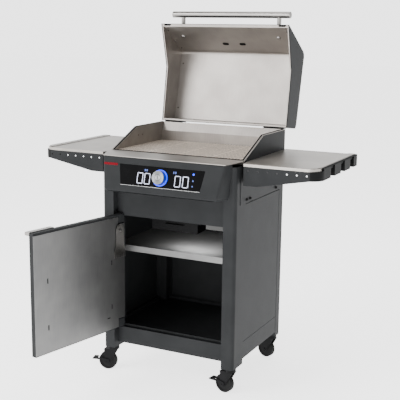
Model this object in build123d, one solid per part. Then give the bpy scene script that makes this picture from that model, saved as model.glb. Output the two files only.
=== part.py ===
from build123d import *
import math
import os

# Cabinet cart with an electric hooded grill on top, lid and door standing open.
# Millimetres. X runs to the right, Y to the back and Z up. The origin is on the
# floor under the middle of the four legs.

# ---- driving sizes ---------------------------------------------------------
CART_W = 576.0            # over the legs
CART_D = 488.0            # over the legs, front to back
SHELF_Z = 904.0           # top of the side shelves
SHELF_OUT = 307.0         # side of the cart to the outer end of a shelf
LEG_FOOT_Z = 108.0        # underside of the legs
WHEEL_D = 75.0
LID_OPEN = 99.0           # degrees from closed to the stop
DOOR_OPEN = 102.0

# ---- sheet and fits --------------------------------------------------------
SHEET = 1.5               # painted steel sheet
SKIN = 1.2                # stainless sheet
PIN_FIT = 0.05            # radial play of a pin in its hole
BODY_GAP = 0.8            # space between pieces that move past each other

# ---- legs and rails --------------------------------------------------------
LEG_W = 50.0
FRONT_LEG_D = 92.0
REAR_LEG_D = 52.0
LEG_CORNER = 15.0
LEG_TOP_Z = 892.0
FOOT_PLATE = 5.0
RECESS = 32.0             # rails and front panel behind the leg fronts
RAIL_BOTTOM_Z = 126.0
RAIL_TOP_Z = 193.5
SIDE_RAIL_TOP_Z = 197.0
PANEL_FLANGE = 18.0       # depth of the folded edges
SEAM = 1.0                # bevel that draws a panel's edge
CASING_Z = 745.0          # lower edge of the upper side casings
CASING_GAP = 3.0          # shadow gap between a casing and the side panel
OPENING_TOP_Z = 657.0
FLOOR_Z = 190.0
MID_SHELF_Z = 522.0
MID_SHELF_LIP = 24.0
WALL_SCREW_R = 4.0

HALF_W = CART_W / 2
HALF_D = CART_D / 2
LEG_IN = HALF_W - LEG_W                      # inner face of a leg
FRONT_LEG_BACK = -HALF_D + FRONT_LEG_D
REAR_LEG_FRONT = HALF_D - REAR_LEG_D
RAIL_Y = -HALF_D + RECESS                    # front face of the rails
MID_SHELF_Y = FRONT_LEG_BACK - 6.0
FLOOR_SCREWS = [(x, y) for x in (-LEG_IN + 43.0, LEG_IN - 43.0) for y in (-HALF_D + 103.0, HALF_D - 94.0)]

# ---- casters ---------------------------------------------------------------
WHEEL_W = 24.0
AXLE_R = 4.0
STEM_R = 6.0
CASTER_TRAIL = 27.0
STEM_PLATE_R = 24.0
FORK_T = 3.0
FORK_ROOM = 1.5           # each side of the wheel
CROWN_Z = LEG_FOOT_Z - 14.0
SWIVEL_DEG = {"front_left": 195.0, "front_right": 170.0, "rear_left": 185.0, "rear_right": 165.0}

# ---- side shelves ----------------------------------------------------------
SHELF_REACH = HALF_W + SHELF_OUT
SHELF_IN = HALF_W + 3.0
SHELF_FRONT = -HALF_D + 29.0
SHELF_BACK = HALF_D + 1.0
SHELF_NOTCH_Y = -HALF_D + 94.0
SHELF_HEM = 10.0
SHELF_CORNER = 46.0
CAP_W = 38.0              # end cap, under the outer band of the stainless top
CAP_WALL = 8.0            # its outer wall, beside the stainless
CAP_H = 44.0
RIM_W = 30.0              # raised band along the outer end
RIM_RISE = 2.5
APRON_DEEP_Z = 823.0
APRON_DEEP_X = SHELF_IN + 66.0
HOOK_R = 3.2
HOOK_PITCH = 37.5
HOOK_COUNT = 7
HOOK_X = SHELF_IN + 30.5
HOOK_Z = 878.5
POCKET_W = 46.0
POCKET_DEPTH = 20.0
POCKET_Y = (SHELF_BACK - 313.0, SHELF_BACK - 193.0, SHELF_BACK - 75.0)
CAP_X = SHELF_REACH - CAP_W
TOP_X = SHELF_REACH - CAP_WALL

# ---- grill body ------------------------------------------------------------
BODY_W = HALF_W
BODY_FRONT = -HALF_D + 72.0
BODY_BACK = HALF_D - 6.0
BODY_FLOOR_Z = LEG_TOP_Z
RIM_FRONT_Z = 909.0
RIM_KINK_Y = BODY_FRONT + 177.0
RIM_REAR_Z = 985.0
LINER_X = BODY_W - 12.0
LINER_BACK = BODY_BACK - 24.0
LEDGE_Z = 948.0
TUB_HALF_W = LEG_IN - 6.0
TUB_FRONT = FRONT_LEG_BACK + 2.0
TUB_BACK = REAR_LEG_FRONT - 2.0
TUB_Z = 772.0
GASKET_W = 5.0
GASKET_H = 2.0
DECK_FRONT = -HALF_D - 36.0
DECK_FRONT_X = HALF_W - 28.0
DECK_SHOULDER_Y = -HALF_D + 38.0
DECK_FRONT_Z = 904.0
GRATE_Z = 908.0
GRATE_COUNT = 4
GRATE_GAP = 3.0           # between two sections
GRATE_BAR = 7.5
GRATE_PITCH = 12.0
GRATE_TIES = 7            # cross bars under the long bars
GRATE_H = 9.0
GRATE_REAR = LINER_BACK - 4.0
ELEMENT_R = 4.0
ELEMENT_Z = 868.0

# ---- control housing -------------------------------------------------------
HOUSE_TOP_Z = 902.0
HOUSE_TOP_Y = -HALF_D - 34.0
HOUSE_TOP_X = HALF_W - 28.0
HOUSE_LOW_Z = 768.0
HOUSE_LOW_Y = -HALF_D - 67.0
HOUSE_LOW_X = HALF_W - 51.0
HOUSE_CORNER = 16.0
HOUSE_WALL = 2.5
GLASS_TOP = 27.0          # down the sloping face from its top edge
GLASS_LOW = 104.0
GLASS_TOP_X = 182.0
GLASS_LOW_X = 168.5
GLASS_T = 2.2
GLASS_POCKET = 1.2
KNOB_R = 25.5
KNOB_H = 20.0
KNOB_DOWN = 67.5
KNOB_SHAFT_R = 3.0
RING_R = 31.5
RING_H = 3.0

# ---- lid -------------------------------------------------------------------
LID_X = BODY_W + 4.0
HINGE_Y = BODY_BACK + 5.0
HINGE_Z = 987.0
LID_FRONT = BODY_FRONT + 4.0
LID_BEND_Y = BODY_FRONT + 90.0
LID_BEND_Z = 1122.0
LID_REAR_Y = BODY_BACK + 2.0
LID_REAR_TOP_Z = 1096.0
LID_RIM_GAP = 3.5         # lid rim over the body rim, filled by the gasket
LID_WALL = 9.0            # outer sheet to liner
LID_FLANGE = 4.0          # folded edge of an end plate along the rim
LID_LINER_X = LID_X - 8.0
LID_BEND_R = 26.0
LID_REAR_R = 18.0
HANDLE_R = 13.5
HANDLE_X = BODY_W - 17.0
POST_X = HANDLE_X - 50.0
POST_R = 9.0
HANDLE_Y = LID_FRONT - 49.5
HANDLE_Z = 978.0
KNUCKLE_R = 4.5
HINGE_PIN_R = 2.5
HINGE_X = BODY_W - 56.0
HINGE_LEN = 84.0
HINGE_LEAF = 2.5

# ---- door ------------------------------------------------------------------
DOOR_T = 22.0
DOOR_Y = -HALF_D + 8.0    # outer face when shut
DOOR_Z0 = 201.0
DOOR_Z1 = 665.0
DOOR_FREE_X = LEG_IN - 2.5
PIVOT_X = -LEG_IN + 17.5
DOOR_HINGE_X = PIVOT_X - 12.5
PIVOT_Y = DOOR_Y + DOOR_T / 2
DOOR_PIN_R = 4.0
PANEL_Z0 = 204.0
PANEL_Z1 = 656.0
EAR_H = 34.0
EAR_W = 34.0
PULL_X1 = DOOR_FREE_X - 3.5
PULL_X0 = PULL_X1 - 116.0
PULL_DEPTH = 26.0
PULL_H = 24.0

# ---- grease tray and tool --------------------------------------------------
TRAY_W = 220.0
TRAY_D = 300.0
TRAY_H = 38.0
TRAY_TOP_Z = 648.0
TRAY_Y0 = BODY_FRONT - 6.0
TRAY_FIT = 0.3            # lip over its rail
TOOL_TOP_Z = 628.0
TOOL_T = 1.5
TOOL_W_TOP = 40.0
TOOL_W_LOW = 60.0
TOOL_H = 136.0
TOOL_S = 18.0             # centre, along the door from its pivot
PEG_R = 4.0
PEG_Z = 604.0


def box(x0, x1, y0, y1, z0, z1):
    """Block between two corners."""
    centre = Pos((x0 + x1) / 2, (y0 + y1) / 2, (z0 + z1) / 2)
    return centre * Box(abs(x1 - x0), abs(y1 - y0), abs(z1 - z0))


def rod(p, q, radius):
    """Round bar from p to q."""
    start = Vector(*p)
    run = Vector(*q) - start
    plane = Plane(origin=start, z_dir=run.normalized())
    return extrude(plane * Circle(radius), run.length)


def prism_x(points, x0, x1):
    """A (y, z) outline drawn out along X."""
    face = make_face(Plane.YZ * Polyline(*points, close=True))
    return Pos(x0, 0, 0) * extrude(face, x1 - x0, dir=(1, 0, 0))


def prism_z(points, z0, z1):
    """An (x, y) outline drawn up along Z."""
    face = make_face(Polyline(*points, close=True))
    return Pos(0, 0, z0) * extrude(face, z1 - z0)


def mirror_x(part):
    return mirror(part, Plane.YZ)


def inset(points, depths):
    """Closed outline moved inward by its own depth on each edge, anticlockwise points."""
    count = len(points)
    lines = []
    for i in range(count):
        (ax, ay), (bx, by) = points[i], points[(i + 1) % count]
        length = math.hypot(bx - ax, by - ay)
        nx, ny = -(by - ay) / length, (bx - ax) / length
        lines.append((ax + nx * depths[i], ay + ny * depths[i], bx - ax, by - ay))
    moved = []
    for i in range(count):
        px, py, ux, uy = lines[i - 1]
        qx, qy, vx, vy = lines[i]
        t = ((qx - px) * vy - (qy - py) * vx) / (ux * vy - uy * vx)
        moved.append((px + ux * t, py + uy * t))
    return moved


def edges_near(part, axis_dir, test):
    """Straight edges along a direction whose middle passes a test."""
    found = []
    for edge in part.edges():
        if edge.geom_type != GeomType.LINE:
            continue
        along = (edge @ 1 - edge @ 0).normalized()
        if abs(along.dot(Vector(*axis_dir))) > 0.999 and test(edge @ 0.5):
            found.append(edge)
    return found


NODES = {}


def node(name, part):
    """Keep a finished piece under its name."""
    NODES[name] = part


# ---- cart ------------------------------------------------------------------
def leg(side, front):
    """Folded steel post with a welded foot plate bored for the caster stem."""
    depth = FRONT_LEG_D if front else REAR_LEG_D
    x_out, x_in = side * HALF_W, side * LEG_IN
    y_out = -HALF_D if front else HALF_D
    y_in = y_out + depth if front else y_out - depth
    post = box(x_in, x_out, y_out, y_in, LEG_FOOT_Z, LEG_TOP_Z)
    outer = edges_near(post, (0, 0, 1), lambda p: abs(p.X - x_out) < 1 and abs(p.Y - y_out) < 1)
    post = fillet(outer, LEG_CORNER)
    inner_step = -side * SHEET
    into = SHEET if front else -SHEET
    hollow = box(x_in - inner_step, x_out + inner_step, y_out + into, y_in - into,
                 LEG_FOOT_Z + FOOT_PLATE, LEG_TOP_Z + 1)
    corner = edges_near(hollow, (0, 0, 1),
                        lambda p: abs(p.X - x_out) < 3 and abs(p.Y - y_out) < 3)
    hollow = fillet(corner, LEG_CORNER - SHEET)
    sx, sy = stem_place(side, front)
    post = post - hollow - Pos(sx, sy, LEG_FOOT_Z) * Cylinder(STEM_R + PIN_FIT, 4 * FOOT_PLATE)
    if front:
        post -= Pos(x_out, y_out + 50, LEG_FOOT_Z + 12) * Rot(0, 90, 0) * Cylinder(2.5, 8)
    return post


def stem_place(side, front):
    """Where a caster's stem stands."""
    x = side * (HALF_W - LEG_W / 2)
    y = -HALF_D + 40.0 if front else HALF_D - REAR_LEG_D / 2
    return x, y


def channel_front(z0, z1):
    """Front member: face sheet with folded edges, open behind."""
    body = box(-LEG_IN, LEG_IN, RAIL_Y, RAIL_Y + PANEL_FLANGE, z0, z1)
    return body - box(-LEG_IN + SHEET, LEG_IN - SHEET, RAIL_Y + SHEET, RAIL_Y + PANEL_FLANGE + 1,
                      z0 + SHEET, z1 - SHEET)


def front_panel():
    """Closed front above the door, behind the control housing."""
    panel = channel_front(OPENING_TOP_Z, LEG_TOP_Z)
    cable_slot = box(-60, 60, RAIL_Y - 1, RAIL_Y + SHEET + 1, HOUSE_LOW_Z + 40, HOUSE_LOW_Z + 70)
    return panel - cable_slot


def side_tray(side, z0, z1, depth):
    """Folded panel between a front and a rear leg."""
    y0, y1 = FRONT_LEG_BACK, REAR_LEG_FRONT
    x_out = HALF_W - 0.5
    body = box(x_out - depth, x_out, y0, y1, z0, z1)
    rim = edges_near(body, (0, 0, 1), lambda p: p.X > x_out - 1)
    rim += edges_near(body, (0, 1, 0), lambda p: p.X > x_out - 1)
    body = chamfer(rim, SEAM)
    body -= box(x_out - depth - 1, x_out - SHEET, y0 + SHEET, y1 - SHEET, z0 + SHEET, z1 - SHEET)
    return body if side > 0 else mirror_x(body)


def side_panel(side):
    """Side sheet with the welded angle that carries the middle shelf."""
    x1 = HALF_W - 0.5 - SHEET
    top = MID_SHELF_Z - SKIN
    strip = box(x1 - 22.0, x1, FRONT_LEG_BACK + SHEET, REAR_LEG_FRONT - SHEET, top - 16.0, top)
    strip -= box(x1 - 23.0, x1 - SHEET, FRONT_LEG_BACK, REAR_LEG_FRONT, top - 17.0, top - SHEET)
    strip = strip if side > 0 else mirror_x(strip)
    return side_tray(side, SIDE_RAIL_TOP_Z, CASING_Z - CASING_GAP, PANEL_FLANGE) + strip


def side_casing(side):
    """Upper cover plate laid over the legs beside the grill, held by three bolts."""
    y0, y1 = -HALF_D + 40.0, HALF_D - 18.0
    plate = box(HALF_W, HALF_W + SHEET, y0, y1, CASING_Z, LEG_TOP_Z)
    plate -= box(HALF_W - 1, HALF_W + SHEET + 1, y0 + 77.0, y0 + 111.0, CASING_Z - 1, CASING_Z + 3)
    web = box(HALF_W - SHEET, HALF_W, FRONT_LEG_BACK, REAR_LEG_FRONT, CASING_Z, LEG_TOP_Z)
    plate += web
    for y in (y0 + 55.0, y0 + 86.0, y1 - 83.0):
        head = Pos(HALF_W + SHEET + 1.6, y, CASING_Z + 14) * Rot(0, 90, 0) * Cylinder(5.0, 3.2)
        plate += head
    return plate if side > 0 else mirror_x(plate)


def back_panel():
    """Rear sheet between the rear legs with a bank of vent slots."""
    y1 = HALF_D - 2.0
    body = box(-LEG_IN, LEG_IN, y1 - PANEL_FLANGE, y1, RAIL_TOP_Z, LEG_TOP_Z)
    body -= box(-LEG_IN + SHEET, LEG_IN - SHEET, y1 - PANEL_FLANGE - 1, y1 - SHEET,
                RAIL_TOP_Z + SHEET, LEG_TOP_Z - SHEET)
    for row in range(5):
        for column in (-1, 0, 1):
            slot = Plane.XZ * SlotOverall(90.0, 6.0)
            body -= Pos(column * 120.0, y1 + 3, 700.0 + row * 18.0) * extrude(slot, 12, both=True)
    return body


def bottom_rails():
    """Four channels between the legs' feet."""
    y1 = HALF_D - 2.0
    rear = box(-LEG_IN, LEG_IN, y1 - PANEL_FLANGE, y1, RAIL_BOTTOM_Z, RAIL_TOP_Z)
    rear -= box(-LEG_IN + SHEET, LEG_IN - SHEET, y1 - PANEL_FLANGE - 1, y1 - SHEET,
                RAIL_BOTTOM_Z + SHEET, RAIL_TOP_Z - SHEET)
    sides = [side_tray(side, RAIL_BOTTOM_Z, SIDE_RAIL_TOP_Z, PANEL_FLANGE) for side in (-1, 1)]
    return channel_front(RAIL_BOTTOM_Z, RAIL_TOP_Z) + rear + sides[0] + sides[1]


def floor_pan():
    """Cabinet floor laid on the rails, with raised edges."""
    x1 = HALF_W - 0.5 - PANEL_FLANGE - 4.0
    y0, y1 = RAIL_Y + PANEL_FLANGE, HALF_D - 2.0 - PANEL_FLANGE
    top = FLOOR_Z
    pan = box(-x1, x1, y0, y1, top - 14.0, top + 12.0)
    pan -= box(-x1 + SHEET, x1 - SHEET, y0 + SHEET, y1 - SHEET, top, top + 13.0)
    pan -= box(-x1 + SHEET, x1 - SHEET, y0 + SHEET, y1 - SHEET, top - 15.0, top - SHEET)
    for side in (-1, 1):
        for y_far, y_leg in ((y0 - 1, FRONT_LEG_BACK), (REAR_LEG_FRONT, y1 + 1)):
            pan -= box(side * LEG_IN, side * (x1 + 1), y_far, y_leg, top - 15, top + 13)
    for x, y in FLOOR_SCREWS:
        pan -= rod((x, y, top - 5), (x, y, top + 5), WALL_SCREW_R)
    return pan


def middle_shelf():
    """Loose shelf on the panel flanges, front edge folded down."""
    x1 = HALF_W - 0.5 - SHEET
    y1 = HALF_D - 2.0 - PANEL_FLANGE
    z0 = MID_SHELF_Z - MID_SHELF_LIP
    shelf = box(-x1, x1, MID_SHELF_Y, y1, z0, MID_SHELF_Z)
    shelf -= box(-x1 - 1, x1 + 1, MID_SHELF_Y + SKIN, y1 - SKIN, z0 - 1, MID_SHELF_Z - SKIN)
    for side in (-1, 1):
        shelf -= box(side * LEG_IN, side * (x1 + 1), MID_SHELF_Y - 1, FRONT_LEG_BACK + SHEET + BODY_GAP,
                     z0 - 1, MID_SHELF_Z + 1)
        shelf -= box(side * LEG_IN, side * (x1 + 1), REAR_LEG_FRONT - SHEET - BODY_GAP, y1 + 1,
                     z0 - 1, MID_SHELF_Z + 1)
    return shelf


def door_catch():
    """Bright bracket under the front panel with its magnet block."""
    y0 = RAIL_Y + 1.0
    x0, x1 = LEG_IN - 86.0, LEG_IN - 14.0
    bracket = box(x0, x1, y0, y0 + 20.0, 641.0, OPENING_TOP_Z)
    bracket -= box(x0 - 1, x1 + 1, y0 + SKIN, y0 + 21.0, 640.0, OPENING_TOP_Z - SKIN)
    magnet = box(x0 + 16.0, x1 - 16.0, y0 + SKIN, y0 + SKIN + 9.0, 643.0, OPENING_TOP_Z - SKIN)
    return bracket + magnet


def door_hinge_brackets():
    """Two angle plates on the left front leg, each with a welded pin."""
    parts = []
    for ear_z, pin_dir in ((DOOR_Z0, -1), (DOOR_Z1, 1)):
        plate_z = ear_z + pin_dir * (BODY_GAP + 3.0)
        z0, z1 = sorted((ear_z + pin_dir * BODY_GAP, plate_z))
        plate = box(-LEG_IN, PIVOT_X + 9.0, PIVOT_Y - 9.0, PIVOT_Y + 9.0, z0, z1)
        tab_z0, tab_z1 = (z0 - 14.0, z1) if pin_dir < 0 else (z0, z1 + 14.0)
        plate += box(-LEG_IN, -LEG_IN + 3.0, PIVOT_Y - 9.0, PIVOT_Y + 9.0, tab_z0, tab_z1)
        pin = rod((PIVOT_X, PIVOT_Y, plate_z), (PIVOT_X, PIVOT_Y, ear_z - pin_dir * 18.0), DOOR_PIN_R)
        parts.append(plate + pin)
    return parts[0] + parts[1]


# ---- casters ---------------------------------------------------------------
def caster_stems():
    """Threaded stems with their bearing plates, one in each foot plate."""
    group = None
    for front in (True, False):
        for side in (-1, 1):
            x, y = stem_place(side, front)
            stem = rod((x, y, CROWN_Z + 2.0), (x, y, LEG_FOOT_Z + 26.0), STEM_R)
            stem += rod((x, y, LEG_FOOT_Z - 6.0), (x, y, LEG_FOOT_Z), STEM_PLATE_R - 4.0)
            group = stem if group is None else group + stem
    return group


def fork():
    """Pressed fork with its axle, swivelled straight back along -Y, stem at the origin."""
    radius = WHEEL_D / 2
    inner = WHEEL_W / 2 + FORK_ROOM
    crown_top = LEG_FOOT_Z - 6.0 - 1.0
    crown = rod((0, 0, CROWN_Z - 4.0), (0, 0, crown_top), STEM_PLATE_R - 4.0)
    crown -= rod((0, 0, CROWN_Z - 5.0), (0, 0, crown_top + 1), STEM_R + PIN_FIT)
    shoulder = box(-inner - FORK_T, inner + FORK_T, -CASTER_TRAIL - 12, 12, CROWN_Z - 7.0, CROWN_Z - 4.0)
    shoulder -= rod((0, 0, CROWN_Z - 8.0), (0, 0, CROWN_Z), STEM_R + 3.0)
    legs = None
    outline = [(16.0, CROWN_Z - 4.0), (-CASTER_TRAIL - 14.0, CROWN_Z - 4.0),
               (-CASTER_TRAIL - 11.0, radius - 4.0), (-CASTER_TRAIL - 6.0, radius - 10.0),
               (-CASTER_TRAIL + 6.0, radius - 10.0), (-CASTER_TRAIL + 11.0, radius - 4.0)]
    for side in (-1, 1):
        x0, x1 = sorted((side * inner, side * (inner + FORK_T)))
        cheek = prism_x(outline, x0, x1)
        legs = cheek if legs is None else legs + cheek
    body = crown + shoulder + legs
    wheel_room = rod((-inner, -CASTER_TRAIL, radius), (inner, -CASTER_TRAIL, radius), radius + 2.5)
    body -= wheel_room
    axle = rod((-inner - FORK_T - 2.5, -CASTER_TRAIL, radius),
               (inner + FORK_T + 2.5, -CASTER_TRAIL, radius), AXLE_R)
    return body + axle


def wheel():
    """Moulded hub with a round-shouldered tread, beside the stem's line."""
    radius = WHEEL_D / 2
    tread = Rot(0, 90, 0) * Cylinder(radius, WHEEL_W)
    tread = fillet(tread.edges().filter_by(GeomType.CIRCLE), 4.0)
    hub_r = radius - 9.0
    dish = Rot(0, 90, 0) * Cylinder(hub_r, 5.0)
    web = Rot(0, 90, 0) * Cylinder(9.0, 5.0)
    for side in (-1, 1):
        tread -= Pos(side * (WHEEL_W / 2), 0, 0) * (dish - web)
    tread -= Rot(0, 90, 0) * Cylinder(AXLE_R + PIN_FIT, WHEEL_W + 2)
    return Pos(0, -CASTER_TRAIL, radius) * tread


def brake_lever():
    """Pedal hooked over the axle end, behind the wheel."""
    radius = WHEEL_D / 2
    inner = WHEEL_W / 2 + FORK_ROOM
    x0 = inner + FORK_T + BODY_GAP
    arm = prism_x([(-CASTER_TRAIL + 9.0, radius - 8.0), (-CASTER_TRAIL + 9.0, radius + 8.0),
                   (-CASTER_TRAIL - 26.0, radius + 14.0), (-CASTER_TRAIL - 50.0, radius + 10.0),
                   (-CASTER_TRAIL - 50.0, radius + 5.0), (-CASTER_TRAIL - 26.0, radius + 5.0)],
                  x0, x0 + 3.0)
    pedal = box(-12.0, x0 + 3.0, -CASTER_TRAIL - 62.0, -CASTER_TRAIL - 44.0, radius + 5.0, radius + 10.0)
    lever = arm + pedal
    bore = rod((x0 - 1, -CASTER_TRAIL, radius), (x0 + 4, -CASTER_TRAIL, radius), AXLE_R + PIN_FIT)
    return lever - bore


def casters():
    base_fork, base_wheel, base_brake = fork(), wheel(), brake_lever()
    for name, turn in SWIVEL_DEG.items():
        side = 1 if name.endswith("right") else -1
        front = name.startswith("front")
        x, y = stem_place(side, front)
        place = Pos(x, y, 0) * Rot(0, 0, turn - 90.0 - 180.0)
        node("caster_fork_" + name, place * base_fork)
        node("caster_wheel_" + name, place * base_wheel)
        if front:
            node("caster_brake_" + name, place * base_brake)


# ---- side shelves ----------------------------------------------------------
def shelf_outline(x_end, corner):
    """Plan of a right-hand shelf out to x_end with a rounded front corner."""
    plan = Polyline((SHELF_IN, SHELF_BACK), (SHELF_IN, SHELF_NOTCH_Y), (SHELF_IN + 12.0, SHELF_FRONT),
                    (x_end, SHELF_FRONT), (x_end, SHELF_BACK), close=True)
    face = make_face(plan)
    front_corner = [v for v in face.vertices() if abs(v.X - x_end) < 1 and v.Y < 0]
    return fillet(front_corner, corner)


def shelf_top(side):
    """Stainless tray top: folded hem round it and a raised band along its outer end."""
    outline = shelf_outline(TOP_X, SHELF_CORNER)
    slab = Pos(0, 0, SHELF_Z - SHELF_HEM) * extrude(outline, SHELF_HEM)
    slab -= Pos(0, 0, SHELF_Z - SHELF_HEM - 1) * extrude(
        offset(outline, -SKIN, kind=Kind.INTERSECTION), SHELF_HEM + 1 - SKIN)
    slab -= box(SHELF_IN - 1, TOP_X - 2 * SKIN, SHELF_BACK - 2 * SKIN, SHELF_BACK + 1,
                SHELF_Z - SHELF_HEM - 1, SHELF_Z - SKIN)
    slab -= box(SHELF_IN - 1, SHELF_IN + 2 * SKIN, SHELF_NOTCH_Y, SHELF_BACK,
                SHELF_Z - SHELF_HEM - 1, SHELF_Z - SKIN)
    band = Pos(0, 0, SHELF_Z - 0.5) * extrude(offset(outline, -2.5, kind=Kind.INTERSECTION), RIM_RISE + 0.5)
    band &= box(TOP_X - RIM_W, TOP_X, -1000, 1000, 0, 2000)
    crown = [e for e in band.edges() if (e @ 0.5).Z > SHELF_Z + RIM_RISE - 0.1]
    slab += chamfer(crown, 1.6)
    return slab if side > 0 else mirror_x(slab)


def apron_cuts():
    """Row of hook holes through the front apron."""
    cuts = None
    for i in range(HOOK_COUNT):
        x = HOOK_X + i * HOOK_PITCH
        hole = Pos(x, SHELF_FRONT, HOOK_Z) * Rot(90, 0, 0) * Cylinder(HOOK_R, 20)
        cuts = hole if cuts is None else cuts + hole
    return cuts


def shelf_arms(inner_x):
    """Two bracket arms from the apron's end wall to the upper casing."""
    arms = None
    x0 = HALF_W + SHEET
    top = SHELF_Z - SHELF_HEM
    for y in (-HALF_D + 124.0, HALF_D - 64.0):
        arm = box(x0, inner_x + 1.0, y - 15.0, y + 15.0, 850.0, top - 1.0)
        arm -= box(x0 + 3.0, inner_x + 2.0, y - 16.0, y + 16.0, 853.0, top - 4.0)
        arms = arm if arms is None else arms + arm
    return arms


def shelf_apron(side):
    """Painted frame under the top: front apron, rear apron and end wall."""
    z1 = SHELF_Z - SHELF_HEM
    inner_x = SHELF_IN + 12.0
    outline = shelf_outline(SHELF_REACH, SHELF_CORNER + 4.0)
    ring = Pos(0, 0, APRON_DEEP_Z) * extrude(outline, z1 - APRON_DEEP_Z)
    ring -= Pos(0, 0, APRON_DEEP_Z - 1) * extrude(
        offset(outline, -2.0, kind=Kind.INTERSECTION), z1 - APRON_DEEP_Z + 2)
    ring &= box(inner_x, CAP_X, -400, 400, 0, 2000)
    low = SHELF_Z - CAP_H
    slope = make_face(Plane.XZ * Polyline((APRON_DEEP_X, APRON_DEEP_Z), (CAP_X, low), (CAP_X, 700),
                                          (APRON_DEEP_X, 700), close=True))
    ring -= extrude(slope, 400, both=True)
    ring += box(inner_x, inner_x + 2.0, SHELF_FRONT + 2.0, SHELF_BACK - 2.0, APRON_DEEP_Z, z1)
    ring -= apron_cuts()
    ring += shelf_arms(inner_x)
    return ring if side > 0 else mirror_x(ring)


def shelf_cap(side):
    """Moulded end piece under the top, its outer wall notched by three hook pockets."""
    seat = SHELF_Z - SHELF_HEM
    low = SHELF_Z - CAP_H
    plan = shelf_outline(SHELF_REACH, SHELF_CORNER + 4.0)
    body = Pos(0, 0, low) * extrude(plan, seat - low)
    body &= box(CAP_X, SHELF_REACH + 1, -1000, 1000, 0, 2000)
    wall = box(TOP_X, SHELF_REACH, SHELF_FRONT + SHELF_CORNER, SHELF_BACK, seat - 1.0, SHELF_Z + 1.5)
    wall = chamfer(edges_near(wall, (0, 1, 0), lambda p: p.Z > SHELF_Z and p.X > TOP_X + 1), 3.5)
    body += wall
    back = edges_near(body, (0, 0, 1), lambda p: p.Y > SHELF_BACK - 1 and p.X > TOP_X + 1)
    body = chamfer(back, 7.0)
    hollow = Pos(0, 0, low - 1) * extrude(
        offset(plan, -2.5, kind=Kind.INTERSECTION), seat - low - 1.5)
    hollow &= box(CAP_X + 2.5, SHELF_REACH, -1000, SHELF_BACK - 14.0, 0, 2000)
    body -= hollow
    for y in POCKET_Y:
        y0, y1 = y - POCKET_W / 2, y + POCKET_W / 2
        body += box(SHELF_REACH - POCKET_DEPTH - 2.5, SHELF_REACH - 1.5, y0 - 2.5, y1 + 2.5, low, seat - 1.0)
        pocket = box(SHELF_REACH - POCKET_DEPTH, SHELF_REACH + 1, y0, y1, low - 1, seat - 3.0)
        body -= chamfer(edges_near(pocket, (0, 1, 0), lambda p: p.Z > low + 5 and p.X < SHELF_REACH), 7.0)
        body -= box(TOP_X + 2.0, SHELF_REACH + 1, y0, y1, seat - 4.0, SHELF_Z - 2.0)
    return body if side > 0 else mirror_x(body)


# ---- grill body ------------------------------------------------------------
RIM_LINE = [(BODY_FRONT, RIM_FRONT_Z), (RIM_KINK_Y, RIM_REAR_Z), (BODY_BACK, RIM_REAR_Z)]


def under_rim(drop, y0, y1, z_low):
    """Outline below the rim line, lowered by drop and cut to y0..y1."""
    slope = (RIM_REAR_Z - RIM_FRONT_Z) / (RIM_KINK_Y - BODY_FRONT)
    z_start = RIM_FRONT_Z + (y0 - BODY_FRONT) * slope - drop
    return [(y0, z_low), (y1, z_low), (y1, RIM_REAR_Z - drop), (RIM_KINK_Y, RIM_REAR_Z - drop), (y0, z_start)]


def firebox_shell():
    """Painted outer box: side and rear walls over a shoulder, with the tub below."""
    z0 = BODY_FLOOR_Z
    outer = prism_x(under_rim(SKIN, BODY_FRONT, BODY_BACK, z0), -BODY_W, BODY_W)
    room = prism_x(under_rim(-50.0, BODY_FRONT + SHEET, BODY_BACK - SHEET, z0 + SHEET),
                   -BODY_W + SHEET, BODY_W - SHEET)
    shell = outer - room
    shell -= box(-BODY_W - 1, BODY_W + 1, BODY_FRONT - 1, BODY_FRONT + SHEET + 0.5, 899.0, 1000.0)
    tub = box(-TUB_HALF_W, TUB_HALF_W, TUB_FRONT, TUB_BACK, TUB_Z, z0)
    shell += tub
    shell -= box(-TUB_HALF_W + SHEET, TUB_HALF_W - SHEET, TUB_FRONT + SHEET, TUB_BACK - SHEET,
                 TUB_Z + SHEET, z0 + 2)
    drain = box(-70, 70, -40, 60, TUB_Z - 1, TUB_Z + SHEET + 1)
    return shell - drain


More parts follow.
